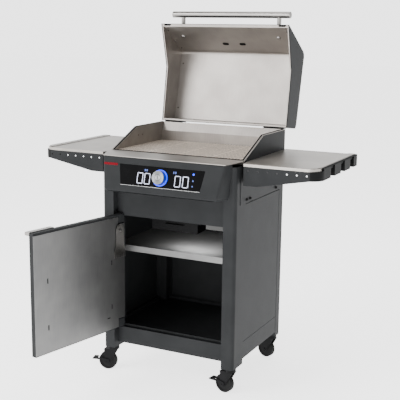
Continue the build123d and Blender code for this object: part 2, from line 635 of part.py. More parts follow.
def firebox_liner():
    """Stainless cooking chamber walls with a rim laid over the outer box."""
    z0 = BODY_FLOOR_Z + SHEET
    wall_out = LINER_X + SKIN
    front = BODY_FRONT + 8.0
    walls = prism_x(under_rim(0.0, front, LINER_BACK + SKIN, z0), -wall_out, wall_out)
    walls -= prism_x(under_rim(-60.0, front + SKIN, LINER_BACK, z0 - 1), -LINER_X, LINER_X)
    rim = prism_x(under_rim(0.0, BODY_FRONT, BODY_BACK, z0), -BODY_W - 1.0, BODY_W + 1.0)
    rim -= prism_x(under_rim(SKIN, BODY_FRONT - 1, BODY_BACK + 1, z0 - 5), -BODY_W - 2, BODY_W + 2)
    rim -= box(-LINER_X, LINER_X, BODY_FRONT - 1, BODY_BACK + 1, z0, 1100)
    ledge = prism_x([(LINER_BACK, LEDGE_Z), (LINER_BACK + SKIN, LEDGE_Z), (BODY_BACK - 2.0, RIM_REAR_Z - SKIN),
                     (BODY_BACK, RIM_REAR_Z - SKIN), (BODY_BACK, RIM_REAR_Z), (BODY_BACK - 3.5, RIM_REAR_Z),
                     (LINER_BACK, LEDGE_Z + 2.0)], -wall_out, wall_out)
    walls -= box(-LINER_X, LINER_X, LINER_BACK - 1, LINER_BACK + 3, LEDGE_Z, 1100)
    upper = box(-wall_out - 1, wall_out + 1, front - 1, front + 3, RIM_FRONT_Z - 1.0, 1000)
    walls -= upper
    side_close = prism_x([(LINER_BACK, LEDGE_Z), (BODY_BACK - 4.0, RIM_REAR_Z - SKIN), (LINER_BACK, RIM_REAR_Z - SKIN)],
                         LINER_X, wall_out)
    liner = walls + rim + ledge + side_close + mirror_x(side_close) + grate_supports()
    for y in (RIM_KINK_Y + 9.0, RIM_KINK_Y + 42.0):
        for side in (-1, 1):
            liner -= Pos(side * LINER_X, y, 948.0) * Rot(0, 90, 0) * Cylinder(2.6, 8)
    return liner


def rim_gasket():
    """Dark woven seal lying on the rim where the lid closes."""
    x0, x1 = LINER_X + 2.5, LINER_X + 2.5 + GASKET_W
    strip = prism_x(under_rim(-GASKET_H, BODY_FRONT + 1.0, BODY_BACK - 4.0, 900.0), x0, x1)
    strip -= prism_x(under_rim(0.0, BODY_FRONT - 10, BODY_BACK + 10, 880.0), x0 - 1, x1 + 1)
    both = strip + mirror_x(strip)
    front = box(-x1, x1, BODY_FRONT + 1.0, BODY_FRONT + 1.0 + GASKET_W, RIM_FRONT_Z, RIM_FRONT_Z + GASKET_H)
    front -= prism_x(under_rim(0.0, BODY_FRONT - 10, BODY_BACK, 880.0), -x1 - 1, -LINER_X)
    front -= prism_x(under_rim(0.0, BODY_FRONT - 10, BODY_BACK, 880.0), LINER_X, x1 + 1)
    return both + front


def deck_plan(x_grow):
    """Plan of the front deck."""
    return [(-DECK_FRONT_X - x_grow, DECK_FRONT), (DECK_FRONT_X + x_grow, DECK_FRONT),
            (BODY_W + x_grow, DECK_SHOULDER_Y), (BODY_W + x_grow, BODY_FRONT + 8.0),
            (-BODY_W - x_grow, BODY_FRONT + 8.0), (-BODY_W - x_grow, DECK_SHOULDER_Y)]


def front_deck():
    """Stainless deck between the chamber and the control housing."""
    thick = 2.0
    side_view = [(DECK_FRONT, DECK_FRONT_Z), (DECK_FRONT, DECK_FRONT_Z - thick),
                 (BODY_FRONT, RIM_FRONT_Z - thick), (BODY_FRONT + 8.0, RIM_FRONT_Z - thick),
                 (BODY_FRONT + 8.0, RIM_FRONT_Z), (BODY_FRONT, RIM_FRONT_Z)]
    sheet = prism_x(side_view, -BODY_W, BODY_W)
    sheet &= prism_z(deck_plan(0.0), 850.0, 950.0)
    hem = box(-BODY_W, BODY_W, BODY_FRONT - 3.0, BODY_FRONT - 1.0, LEG_TOP_Z, RIM_FRONT_Z - 1.5)
    for side in (-1, 1):
        sheet -= box(side * LINER_X, side * (BODY_W + 2), BODY_FRONT, BODY_FRONT + 9.0, 900, 920)
    return sheet + hem


def grate(index):
    """One lift-out section of the cooking grid: long bars front to back over cross ties."""
    pitch = (2 * LINER_X - 2.0) / GRATE_COUNT
    x0 = -LINER_X + 1.0 + index * pitch + GRATE_GAP / 2
    x1 = x0 + pitch - GRATE_GAP
    y0, y1 = BODY_FRONT + 12.0, GRATE_REAR
    z0, z1 = GRATE_Z - GRATE_H, GRATE_Z
    count = int((x1 - x0 - GRATE_BAR) / GRATE_PITCH) + 1
    step = (x1 - x0 - GRATE_BAR) / (count - 1)
    section = None
    for i in range(count):
        x = x0 + i * step
        bar = box(x, x + GRATE_BAR, y0, y1, z0 + 2.0, z1)
        section = bar if section is None else section + bar
    for i in range(GRATE_TIES):
        y = y0 + (y1 - y0 - GRATE_BAR) * i / (GRATE_TIES - 1)
        section += box(x0, x1, y, y + GRATE_BAR, z0, z1 - 2.5)
    return section


def grate_supports():
    """Front and rear ledges and two cross rails that carry the grates."""
    z1 = GRATE_Z - GRATE_H
    z0 = BODY_FLOOR_Z + SHEET
    front = box(-LINER_X, LINER_X, BODY_FRONT + 8.0 + SKIN, BODY_FRONT + 24.0, z0, z1)
    front -= box(-LINER_X - 1, LINER_X + 1, BODY_FRONT + 12.0, BODY_FRONT + 25.0, z0 - 1, z1 - SKIN)
    rear = box(-LINER_X, LINER_X, LINER_BACK - 16.0, LINER_BACK, z0, z1)
    rear -= box(-LINER_X - 1, LINER_X + 1, LINER_BACK - 17.0, LINER_BACK - SKIN, z0 - 1, z1 - SKIN)
    return front + rear


def heating_elements():
    """Two serpentine tubular heaters, their ends through the tub's rear wall."""
    group = None
    for side in (-1, 1):
        middle = side * 115.0
        span = 84.0
        rows = [middle - span + i * span * 2 / 3 for i in range(4)]
        y_front, y_rear = TUB_FRONT + 26.0, TUB_BACK - 34.0
        points = [(rows[0], TUB_BACK - 5.0), (rows[0], y_front), (rows[1], y_front), (rows[1], y_rear),
                  (rows[2], y_rear), (rows[2], y_front), (rows[3], y_front), (rows[3], TUB_BACK - 5.0)]
        path = FilletPolyline(*[(x, y, ELEMENT_Z) for x, y in points], radius=22.0)
        section = Plane(origin=path @ 0, z_dir=path % 0) * Circle(ELEMENT_R)
        tube = sweep(section, path=path)
        for x in (rows[0], rows[3]):
            tube += rod((x, TUB_BACK - 14.0, ELEMENT_Z), (x, TUB_BACK - SHEET, ELEMENT_Z), ELEMENT_R + 3.0)
        group = tube if group is None else group + tube
    return group


def heat_reflector():
    """Bright pan under the heaters with a hole over the grease tray."""
    x1 = TUB_HALF_W - SHEET
    y0, y1 = TUB_FRONT + SHEET, TUB_BACK - SHEET
    z0 = TUB_Z + 46.0
    pan = box(-x1, x1, y0, y1, z0, z0 + 18.0)
    pan -= box(-x1 + SKIN, x1 - SKIN, y0 + SKIN, y1 - SKIN, z0 + SKIN, z0 + 19.0)
    return pan - box(-60, 60, -30, 50, z0 - 1, z0 + 3)


def tray_rails():
    """Hanger under the tub: two Z rails that the grease tray slides on."""
    x_in = TRAY_W / 2 + 1.0
    z_seat = TRAY_TOP_Z - 3.0 - TRAY_FIT
    y0, y1 = TRAY_Y0 + 30.0, TRAY_Y0 + TRAY_D - 20.0
    rail = box(x_in + 1.0, x_in + 3.0, y0, y1, z_seat - SHEET, TUB_Z)
    rail += box(x_in - 7.0, x_in + 3.0, y0, y1, z_seat - SHEET, z_seat)
    rail += box(x_in + 1.0, x_in + 14.0, y0, y1, TUB_Z - SHEET, TUB_Z)
    return rail + mirror_x(rail)


def grease_tray():
    """Pull-out tray with side lips that hang on the rails."""
    x1 = TRAY_W / 2 - 10.0
    y0, y1 = TRAY_Y0, TRAY_Y0 + TRAY_D
    z0, z1 = TRAY_TOP_Z - TRAY_H, TRAY_TOP_Z
    tray = box(-x1, x1, y0, y1, z0, z1)
    tray -= box(-x1 + SHEET, x1 - SHEET, y0 + SHEET, y1 - SHEET, z0 + SHEET, z1 + 1)
    for side in (-1, 1):
        tray += box(side * (x1 - SHEET), side * (TRAY_W / 2 + 1.0), y0, y1, z1 - 3.0, z1 - 3.0 + SHEET)
    lip = box(-40, 40, y0 - 12.0, y0 + SHEET, z1 - 12.0, z1 - 10.0)
    return tray + lip


# ---- control housing -------------------------------------------------------
def house_frame(down, out):
    """Point on the sloping face, down from its top edge and out along its normal."""
    run_y, run_z = HOUSE_LOW_Y - HOUSE_TOP_Y, HOUSE_LOW_Z - HOUSE_TOP_Z
    length = math.hypot(run_y, run_z)
    dy, dz = run_y / length, run_z / length
    return HOUSE_TOP_Y + dy * down + dz * out, HOUSE_TOP_Z + dz * down - dy * out


def house_plane(down, out):
    """Sketch plane on the sloping face; its Y points up the face and Z outward."""
    y, z = house_frame(down, out)
    y2, z2 = house_frame(down, out + 1.0)
    return Plane(origin=(0, y, z), x_dir=(1, 0, 0), z_dir=(0, y2 - y, z2 - z))


def quad(points):
    return Face(Wire.make_polygon([Vector(*p) for p in points], close=True))


def house_block(wall, back_y):
    """Wedge-shaped block whose walls lie wall deep inside the housing."""
    y_top, z_top = house_frame(wall, -wall)
    y_low, z_low = house_frame(math.hypot(HOUSE_LOW_Y - HOUSE_TOP_Y, HOUSE_LOW_Z - HOUSE_TOP_Z) - wall, -wall)
    x_top, x_low = HOUSE_TOP_X - wall, HOUSE_LOW_X - wall
    x_back_top, x_back_low = HOUSE_TOP_X + 12.0 - wall, HOUSE_LOW_X + 22.0 - wall
    front = quad([(-x_top, y_top, z_top), (x_top, y_top, z_top), (x_low, y_low, z_low), (-x_low, y_low, z_low)])
    back = quad([(-x_back_top, back_y, z_top), (x_back_top, back_y, z_top),
                 (x_back_low, back_y, z_low), (-x_back_low, back_y, z_low)])
    block = loft([front, back], ruled=True)
    ends = [e for e in block.edges() if abs((e @ 1).Y - (e @ 0).Y) > 20
            and max((e @ 0).Z, (e @ 1).Z) < HOUSE_LOW_Z + wall + 1]
    return fillet(ends, HOUSE_CORNER - wall)


def control_housing():
    """Folded cover: sloping fascia, ends, bottom and a shelf back to the front panel."""
    back_y = -HALF_D
    outer = house_block(0.0, back_y)
    low_edge = edges_near(outer, (1, 0, 0), lambda p: p.Y < HOUSE_TOP_Y - 10 and p.Z < HOUSE_LOW_Z + 5)
    outer = fillet(low_edge, 9.0)
    cover = outer - house_block(HOUSE_WALL, back_y + 1.0)
    cover += box(-LEG_IN, LEG_IN, back_y - 0.5, RAIL_Y, HOUSE_LOW_Z, HOUSE_LOW_Z + HOUSE_WALL)
    cover -= Pos(0, 0, 0) * glass_block(GLASS_POCKET + 5.0, 0.2, -GLASS_POCKET)
    shaft = house_plane(KNOB_DOWN, -10.0)
    cover -= extrude(shaft * Circle(7.5), 20.0)
    return cover


def glass_block(thick, grow, start):
    """Trapezoid of the display window, from start outward."""
    top, low = GLASS_TOP - grow, GLASS_LOW + grow
    plane = house_plane(0.0, start)
    outline = Polyline((-GLASS_TOP_X - grow, -top), (GLASS_TOP_X + grow, -top),
                       (GLASS_LOW_X + grow, -low), (-GLASS_LOW_X - grow, -low), close=True)
    return extrude(plane * make_face(outline), thick)


def display_glass():
    """Smoked glass front of the display, bored for the knob's shaft."""
    plate = glass_block(GLASS_T, 0.0, -GLASS_POCKET)
    return plate - extrude(house_plane(KNOB_DOWN, -10.0) * Circle(7.5), 20.0)


def knob_ring():
    """Clear light ring standing on the glass round the knob."""
    base = house_plane(KNOB_DOWN, GLASS_T - GLASS_POCKET)
    ring = extrude(base * (Circle(RING_R) - Circle(KNOB_R + 1.2)), RING_H)
    return ring


def control_knob():
    """Turned metal cap with a spindle that runs back into its bush."""
    gap = GLASS_T - GLASS_POCKET + 1.0
    cap = extrude(house_plane(KNOB_DOWN, gap) * Circle(KNOB_R), KNOB_H)
    rim = [e for e in cap.edges() if e.geom_type == GeomType.CIRCLE]
    cap = fillet(rim, 1.6)
    spindle = extrude(house_plane(KNOB_DOWN, -22.0) * Circle(KNOB_SHAFT_R), 22.0 + gap + 2.0)
    return cap + spindle


def control_board():
    """Circuit board on four spacers with the knob's encoder bush."""
    back = -HOUSE_WALL
    plate_out = back - 12.0
    board = extrude(house_plane(0.0, plate_out) * (Pos(0, -KNOB_DOWN, 0) * Rectangle(330.0, 76.0)), 1.6)
    for x in (-155.0, 155.0):
        for dy in (-32.0, 32.0):
            spot = Pos(x, -KNOB_DOWN + dy, 0)
            board += extrude(house_plane(0.0, plate_out + 1.6) * (spot * Circle(4.0)), 12.0 - 1.6)
    bush = extrude(house_plane(KNOB_DOWN, -24.0) * Circle(9.0), 22.0 - HOUSE_WALL)
    board += bush
    bore = extrude(house_plane(KNOB_DOWN, -23.0) * Circle(KNOB_SHAFT_R + PIN_FIT), 40.0)
    return board - bore


def power_inlet():
    """Socket for the detachable lead on the rear panel."""
    y1 = HALF_D - 2.0
    body = box(-24.0, 24.0, y1, y1 + 3.0, 846.0, 880.0)
    body += box(-14.0, 14.0, y1 + 3.0, y1 + 10.0, 852.0, 874.0)
    return body - box(-11.5, 11.5, y1 + 2.0, y1 + 11.0, 854.5, 871.5)


# ---- lid, drawn shut and turned open ---------------------------------------
def lid_points():
    """Side view of the shut lid, anticlockwise seen from +X: front foot, rim, rear, top."""
    slope = (RIM_REAR_Z - RIM_FRONT_Z) / (RIM_KINK_Y - BODY_FRONT)
    foot_z = RIM_FRONT_Z + (LID_FRONT - BODY_FRONT) * slope + LID_RIM_GAP
    rim_z = RIM_REAR_Z + LID_RIM_GAP
    return [(LID_FRONT, foot_z), (RIM_KINK_Y - 1.0, rim_z), (LID_REAR_Y, rim_z),
            (LID_REAR_Y - 3.0, LID_REAR_TOP_Z), (LID_BEND_Y, LID_BEND_Z)]


def lid_prism(depth, below, x):
    """Lid block: depth inside the outer faces, reaching below past the rim."""
    points = inset(lid_points(), [-below, -below, depth, depth, depth])
    block = prism_x(points, -x, x)
    bend_y, bend_z = points[4]
    rear_y, rear_z = points[3]
    bend = edges_near(block, (1, 0, 0), lambda p: abs(p.Y - bend_y) < 1 and abs(p.Z - bend_z) < 1)
    block = fillet(bend, max(LID_BEND_R - depth, 3.0))
    rear = edges_near(block, (1, 0, 0), lambda p: abs(p.Y - rear_y) < 1 and abs(p.Z - rear_z) < 1)
    return fillet(rear, max(LID_REAR_R - depth, 3.0))


def open_lid(part):
    return part.rotate(Axis((0, HINGE_Y, HINGE_Z), (1, 0, 0)), -LID_OPEN)


def hinge_room():
    """Notches in the lid's lower back edge round the two hinges."""
    half = HINGE_LEN / 2 + 1.0 + BODY_GAP
    reach = KNUCKLE_R + BODY_GAP
    room = None
    for mid in (-HINGE_X, HINGE_X):
        notch = box(mid - half, mid + half, HINGE_Y - reach, HINGE_Y + 20.0, HINGE_Z - 20.0, HINGE_Z + reach)
        room = notch if room is None else room + notch
    return room


def lid_shell():
    """Bent outer sheet: front, top and back."""
    return lid_prism(0.0, 0.0, LID_X - SHEET) - lid_prism(SHEET, 40.0, LID_X + 5) - hinge_room()


def rim_strip(thick):
    """Sheet lying in the rim, inside the outer sheet."""
    return lid_prism(SHEET, 0.0, LID_X - SHEET) - lid_prism(-60.0, -thick, LID_X + 20.0)


def lid_end_plates():
    """Outer end sheets with a folded edge along the rim."""
    plate = lid_prism(0.0, 0.0, LID_X) & box(LID_X - SHEET, LID_X + 1, -1000, 1000, 800, 1300)
    plate += rim_strip(SHEET) & box(LID_X - LID_FLANGE, LID_X, -1000, 1000, 800, 1300)
    return plate + mirror_x(plate)


def lid_liner():
    """Stainless inner skin with a rim strip out to the shell, and two vent ports."""
    room = lid_prism(LID_WALL, 40.0, LID_LINER_X)
    skin = lid_prism(LID_WALL - SKIN, 0.0, LID_LINER_X + SKIN) - room
    rim = rim_strip(SKIN) & box(LID_FLANGE - LID_X, LID_X - LID_FLANGE, -1000, 1000, 800, 1300)
    rim -= room
    ports = None
    for x in (-39.5, 39.5):
        port = extrude(lid_front_plane(62.0) * (Pos(x, 0, 0) * SlotOverall(28.0, 15.0)), 40.0, both=True)
        port &= lid_prism(LID_WALL - SKIN - 3.0, 0.0, LID_LINER_X)
        ports = port if ports is None else ports + port
    return skin + rim - hinge_room() - ports


def lid_front_plane(down):
    """Plane on the lid's front sheet, down mm below the bend, its normal outward."""
    (foot_y, foot_z), (bend_y, bend_z) = lid_points()[0], lid_points()[4]
    length = math.hypot(foot_y - bend_y, foot_z - bend_z)
    uy, uz = (foot_y - bend_y) / length, (foot_z - bend_z) / length
    return Plane(origin=(0, bend_y + uy * (down + 20.0), bend_z + uz * (down + 20.0)), x_dir=(1, 0, 0),
                 z_dir=(0, uz, -uy))


def lid_handle():
    """Round tube across the front with closed ends."""
    bar = rod((-HANDLE_X, HANDLE_Y, HANDLE_Z), (HANDLE_X, HANDLE_Y, HANDLE_Z), HANDLE_R)
    bar = fillet(bar.edges().filter_by(GeomType.CIRCLE), 2.0)
    return bar - rod((-HANDLE_X + 3, HANDLE_Y, HANDLE_Z), (HANDLE_X - 3, HANDLE_Y, HANDLE_Z), HANDLE_R - 2.0)


def lid_handle_posts():
    """Two posts from the front sheet to the tube, with bolt heads on the liner."""
    angle = math.radians(LID_OPEN - 90.0)
    dy, dz = math.cos(angle), math.sin(angle)
    group = None
    for x in (-POST_X, POST_X):
        post = rod((x, HANDLE_Y, HANDLE_Z), (x, HANDLE_Y + dy * 120.0, HANDLE_Z + dz * 120.0), POST_R)
        post -= lid_prism(0.0, 30.0, LID_X)
        post -= rod((x - 40, HANDLE_Y, HANDLE_Z), (x + 40, HANDLE_Y, HANDLE_Z), HANDLE_R)
        keep = [s for s in post.solids() if s.center().Y < LID_BEND_Y]
        head = rod((x, HANDLE_Y + dy * 60, HANDLE_Z + dz * 60), (x, HANDLE_Y + dy * 118, HANDLE_Z + dz * 118), 9.0)
        head &= lid_prism(LID_WALL, 20.0, LID_LINER_X - 1.0)
        head -= lid_prism(LID_WALL + 4.0, 60.0, LID_LINER_X)
        pair = keep[0] + head
        group = pair if group is None else group + pair
    return group


def knuckle(x0, x1):
    """Hinge barrel on the lid's axis."""
    return rod((x0, HINGE_Y, HINGE_Z), (x1, HINGE_Y, HINGE_Z), KNUCKLE_R)


def lid_hinge_brackets():
    """Fixed leaves on the rear wall with outer knuckles and the pins."""
    third = HINGE_LEN / 3
    group = None
    for side in (-1, 1):
        mid = side * HINGE_X
        x0, x1 = mid - HINGE_LEN / 2, mid + HINGE_LEN / 2
        leaf = box(x0, x1, BODY_BACK, BODY_BACK + HINGE_LEAF, HINGE_Z - 38.0, HINGE_Z - 8.0)
        for a, b in ((x0, x0 + third - 0.4), (x1 - third + 0.4, x1)):
            leaf += knuckle(a, b)
            leaf += box(a, b, BODY_BACK, HINGE_Y, HINGE_Z - 10.0, HINGE_Z - 3.5)
        leaf += rod((x0 - 1.0, HINGE_Y, HINGE_Z), (x1 + 1.0, HINGE_Y, HINGE_Z), HINGE_PIN_R)
        group = leaf if group is None else group + leaf
    return group


def lid_hinge_leaves():
    """Moving leaves on the lid's back with the middle knuckles."""
    third = HINGE_LEN / 3
    group = None
    for side in (-1, 1):
        mid = side * HINGE_X
        a, b = mid - third / 2 + 0.2, mid + third / 2 - 0.2
        x0, x1 = mid - HINGE_LEN / 2, mid + HINGE_LEN / 2
        leaf = box(x0, x1, LID_REAR_Y + 0.6, LID_REAR_Y + 0.6 + HINGE_LEAF, HINGE_Z + 8.0, HINGE_Z + 36.0)
        leaf -= lid_prism(0.0, 0.0, LID_X + 5)
        arm = knuckle(a, b) + box(a, b, LID_REAR_Y + 0.6, HINGE_Y, HINGE_Z + 3.5, HINGE_Z + 10.0)
        arm -= lid_prism(0.0, 0.0, LID_X + 5)
        leaf += arm
        leaf += box(x0, x1, LID_REAR_Y - 2.0, LID_REAR_Y + 1.0, HINGE_Z + 10.0, HINGE_Z + 34.0) \
            - lid_prism(0.0, 0.0, LID_X + 5)
        leaf -= rod((a - 1, HINGE_Y, HINGE_Z), (b + 1, HINGE_Y, HINGE_Z), HINGE_PIN_R + PIN_FIT)
        group = leaf if group is None else group + leaf
    return group


# ---- door, drawn shut and turned open --------------------------------------
def open_door(part):
    return part.rotate(Axis((PIVOT_X, PIVOT_Y, 0), (0, 0, 1)), -DOOR_OPEN)


def door_skin():
    """Painted outer tray of the door with a bored ear block at each hinge corner."""
    y0, y1 = DOOR_Y, DOOR_Y + DOOR_T
    body = box(DOOR_HINGE_X, DOOR_FREE_X, y0, y1, DOOR_Z0, DOOR_Z1)
    body = fillet(edges_near(body, (0, 0, 1), lambda p: p.Y < y0 + 1), 2.0)
    body -= box(DOOR_HINGE_X + SHEET, DOOR_FREE_X - SHEET, y0 + SHEET, y1 + 1, DOOR_Z0 + SHEET, DOOR_Z1 - SHEET)
    for z0, z1 in ((DOOR_Z0, DOOR_Z0 + EAR_H), (DOOR_Z1 - EAR_H, DOOR_Z1)):
        body += box(DOOR_HINGE_X + 0.5, DOOR_HINGE_X + EAR_W, y0 + 0.5, y1, z0, z1)
    swing = rod((PIVOT_X, PIVOT_Y, OPENING_TOP_Z - 5.0), (PIVOT_X, PIVOT_Y, DOOR_Z1 + 5.0),
                RAIL_Y - PIVOT_Y - BODY_GAP)
    body -= box(DOOR_HINGE_X - 1, PIVOT_X, y0 - 1, y1 + 1, OPENING_TOP_Z - BODY_GAP, DOOR_Z1 + 1) - swing
    for z, up in ((DOOR_Z0, 1), (DOOR_Z1, -1)):
        body -= rod((PIVOT_X, PIVOT_Y, z - up), (PIVOT_X, PIVOT_Y, z + up * 20.0), DOOR_PIN_R + PIN_FIT)
    flange = box(PIVOT_X, DOOR_FREE_X - 1, y1 - SHEET, y1, PANEL_Z1, DOOR_Z1 - 0.5)
    return body + flange


def slot_cut(x, z, width, height, y):
    return box(x - width / 2, x + width / 2, y - 3, y + 3, z - height / 2, z + height / 2)


def door_inner_panel():
    """Stainless inner sheet with keyhole slots, notched round the hinge ears."""
    y1 = DOOR_Y + DOOR_T
    panel = box(DOOR_HINGE_X, DOOR_FREE_X, y1, y1 + SKIN, PANEL_Z0, PANEL_Z1)
    for z0, z1 in ((PANEL_Z0 - 1, DOOR_Z0 + EAR_H + 4.0), (DOOR_Z1 - EAR_H - 4.0, PANEL_Z1 + 1)):
        panel -= box(DOOR_HINGE_X - 1, DOOR_HINGE_X + EAR_W + 2.0, y1 - 1, y1 + 3, z0, z1)
    for along, z in ((392.0, 478.0), (392.0, 300.0), (60.0, 478.0), (60.0, 298.0)):
        panel -= slot_cut(PIVOT_X + along, z, 5.0, 20.0, y1)
    panel -= slot_cut(PIVOT_X + 78.0, 254.0, 16.0, 5.0, y1)
    peg = rod((PIVOT_X + TOOL_S, y1 + 0.2, PEG_Z), (PIVOT_X + TOOL_S, y1 + 12.0, PEG_Z), PEG_R)
    return panel + peg


def door_handle():
    """Formed pull on the upper free corner, lip turned down, with an end block."""
    y0 = DOOR_Y
    z1 = DOOR_Z1 + 2.0
    pull = box(PULL_X0, PULL_X1, y0 - PULL_DEPTH, y0, z1 - PULL_H, z1)
    pull = fillet(edges_near(pull, (1, 0, 0), lambda p: p.Y < y0 - 20 and p.Z > z1 - 2), 5.0)
    pull -= box(PULL_X0 - 1, PULL_X1 + 1, y0 - PULL_DEPTH + 2, y0 - 2, z1 - PULL_H - 1, z1 - 2)
    pull -= box(PULL_X0 - 1, PULL_X1 + 1, y0 - PULL_DEPTH - 1, y0 - 8, z1 - PULL_H - 1, z1 - 12)
    block = box(PULL_X1 - 6.0, PULL_X1, y0 - PULL_DEPTH + 2, y0 - 2, z1 - 14.0, z1 - 2)
    return pull + block


def scraper():
    """Flat hanging scraper: rounded head with a hole, wider toothed blade below."""
    y0 = DOOR_Y + DOOR_T + SKIN + 3.5
    cx = PIVOT_X + TOOL_S
    half_top, half_low = TOOL_W_TOP / 2, TOOL_W_LOW / 2
    shoulder = TOOL_TOP_Z - half_top
    low = TOOL_TOP_Z - TOOL_H
    outline = [(cx - half_top, shoulder), (cx - half_top - 2.0, low + 52.0), (cx - half_low, low + 30.0),
               (cx - half_low, low), (cx + half_low, low), (cx + half_low, low + 30.0),
               (cx + half_top + 2.0, low + 52.0), (cx + half_top, shoulder)]
    face = make_face(Plane.XZ * Polyline(*outline, close=True))
    plate = Pos(0, y0 + TOOL_T, 0) * extrude(face, TOOL_T, dir=(0, -1, 0))
    plate += rod((cx, y0, shoulder), (cx, y0 + TOOL_T, shoulder), half_top)
    teeth = 6
    pitch = TOOL_W_LOW / teeth
    for i in range(teeth):
        x = cx - half_low + (i + 0.5) * pitch
        plate -= box(x - pitch * 0.28, x + pitch * 0.28, y0 - 1, y0 + TOOL_T + 1, low - 1, low + 16.0)
    return plate - rod((cx, y0 - 1, PEG_Z), (cx, y0 + TOOL_T + 1, PEG_Z), PEG_R + 0.4)


# ---- fasteners -------------------------------------------------------------
def screws():
    """Flush heads in the floor pan and pan heads inside the rear legs."""
    group = None
    spots = [(x, y, FLOOR_Z, (0, 0, -1)) for x, y in FLOOR_SCREWS]
    spots += [(side * LEG_IN, REAR_LEG_FRONT + 26.0, z, (-side, 0, 0)) for side in (-1, 1) for z in (240.0, 600.0)]
    for x, y, z, out in spots:
        long = SHEET if out[2] else 2.6
        end = (x + out[0] * long, y + out[1] * long, z + out[2] * long)
        head = rod((x, y, z), end, WALL_SCREW_R)
        group = head if group is None else group + head
    return group


def build():
    sides = (("left", -1), ("right", 1))
    for name, side in sides:
        node("leg_front_" + name, leg(side, True))
        node("side_panel_" + name, side_panel(side))
        node("shelf_top_" + name, shelf_top(side))
        node("shelf_apron_" + name, shelf_apron(side))
        node("shelf_end_cap_" + name, shelf_cap(side))
    node("rear_legs", leg(-1, False) + leg(1, False))
    node("bottom_rails", bottom_rails())
    node("side_casings", side_casing(-1) + side_casing(1))
    node("front_panel", front_panel())
    node("back_panel", back_panel())
    node("floor_pan", floor_pan())
    node("middle_shelf", middle_shelf())
    node("door_catch", door_catch())
    node("door_hinge_brackets", door_hinge_brackets())
    node("caster_stems", caster_stems())
    node("firebox_shell", firebox_shell())
    node("firebox_liner", firebox_liner())
    node("rim_gasket", rim_gasket())
    node("front_deck", front_deck())
    node("heating_elements", heating_elements())
    node("heat_reflector", heat_reflector())
    node("tray_rails", tray_rails())
    node("grease_tray", grease_tray())
    for index in range(GRATE_COUNT):
        node("grate_%d" % (index + 1), grate(index))
    node("control_housing", control_housing())
    node("display_glass", display_glass())
    node("knob_ring", knob_ring())
    node("control_knob", control_knob())
    node("control_board", control_board())
    node("power_inlet", power_inlet())
    node("lid_hinge_brackets", lid_hinge_brackets())
    node("lid_shell", open_lid(lid_shell()))
    node("lid_end_plates", open_lid(lid_end_plates()))
    node("lid_liner", open_lid(lid_liner()))
    node("lid_handle", open_lid(lid_handle()))
    node("lid_handle_posts", open_lid(lid_handle_posts()))
    node("lid_hinge_leaves", open_lid(lid_hinge_leaves()))
    node("door_skin", open_door(door_skin()))
    node("door_inner_panel", open_door(door_inner_panel()))
    node("door_handle", open_door(door_handle()))
    node("scraper", open_door(scraper()))
    node("screws", screws())
    casters()


build()
os.makedirs("parts", exist_ok=True)
for name, part in NODES.items():
    export_step(part, "parts/" + name + ".step")
print(len(NODES), "nodes")
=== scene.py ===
"""Electric grill on a cabinet cart, hood and door standing open.

The solid model is loaded as a fixed frame. Each operator below finishes one part of the cart or adds
the small pieces that belong to its looks.
"""

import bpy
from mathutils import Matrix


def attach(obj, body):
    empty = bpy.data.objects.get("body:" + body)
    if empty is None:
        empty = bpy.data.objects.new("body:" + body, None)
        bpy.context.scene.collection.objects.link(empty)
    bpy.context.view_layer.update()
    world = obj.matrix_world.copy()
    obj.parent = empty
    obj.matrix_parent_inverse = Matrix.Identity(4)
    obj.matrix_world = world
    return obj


bl_info = {
    "name": "Grill Cart",
    "version": (1, 0, 0),
    "blender": (4, 5, 0),
    "location": "View3D > Sidebar > Grill Cart",
    "description": "Finishes an electric grill cart with its paint, steel, display and casters",
    "category": "Object",
}

import math

import bmesh
import bpy
from bpy.props import BoolProperty, FloatProperty, PointerProperty, StringProperty
from mathutils import Matrix, Vector

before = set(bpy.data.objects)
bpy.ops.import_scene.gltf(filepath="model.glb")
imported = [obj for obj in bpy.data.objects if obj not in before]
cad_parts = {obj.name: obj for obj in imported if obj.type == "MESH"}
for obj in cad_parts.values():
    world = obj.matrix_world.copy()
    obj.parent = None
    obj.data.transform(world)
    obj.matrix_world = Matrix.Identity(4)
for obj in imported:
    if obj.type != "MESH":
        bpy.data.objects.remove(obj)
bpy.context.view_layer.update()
MM = 0.001

# Studio: strengths of the floor and of the sky at the horizon and overhead, and the share of the sky
# that a dark flag on the right lets through.
FLOOR_GLOW = 2.4
SKY_LOW, SKY_HIGH = 3.1, 0.5
FLAG = 0.32
FLOOR_REACH = 30.0

# Camera: where it stands, its azimuth, elevation and roll in degrees, and its lens for a 36 mm film,
# from the focal length and the picture's width in one unit.
CAMERA_PLACE = (1.555, -3.086, 1.390)
CAMERA_ANGLES = (26.44, 11.25, 0.67)
FILM_WIDTH = 36.0
FOCAL_LENGTH, PICTURE_WIDTH = 867.9, 400.0
LENS = FOCAL_LENGTH / PICTURE_WIDTH * FILM_WIDTH

# Lights: place, target, width and height, watts.
LIGHTS = {
    "key_softbox": ((-2.2, -3.2, 3.4), (0, 0, 0.7), (2.4, 2.0), 160),
    "low_front_fill": ((0.2, -3.4, 0.35), (0, 0, 0.45), (2.6, 0.7), 42),
    "right_softbox": ((3.4, -1.6, 2.2), (0, 0, 0.8), (2.0, 2.4), 14),
    "cabinet_strip": ((0.05, -0.100, 0.603), (0.06, -0.02, 0.522), (0.16, 0.06), 1.3),
    "top_softbox": ((0.2, 0.4, 4.2), (0, 0, 0.9), (3.0, 3.0), 90),
}


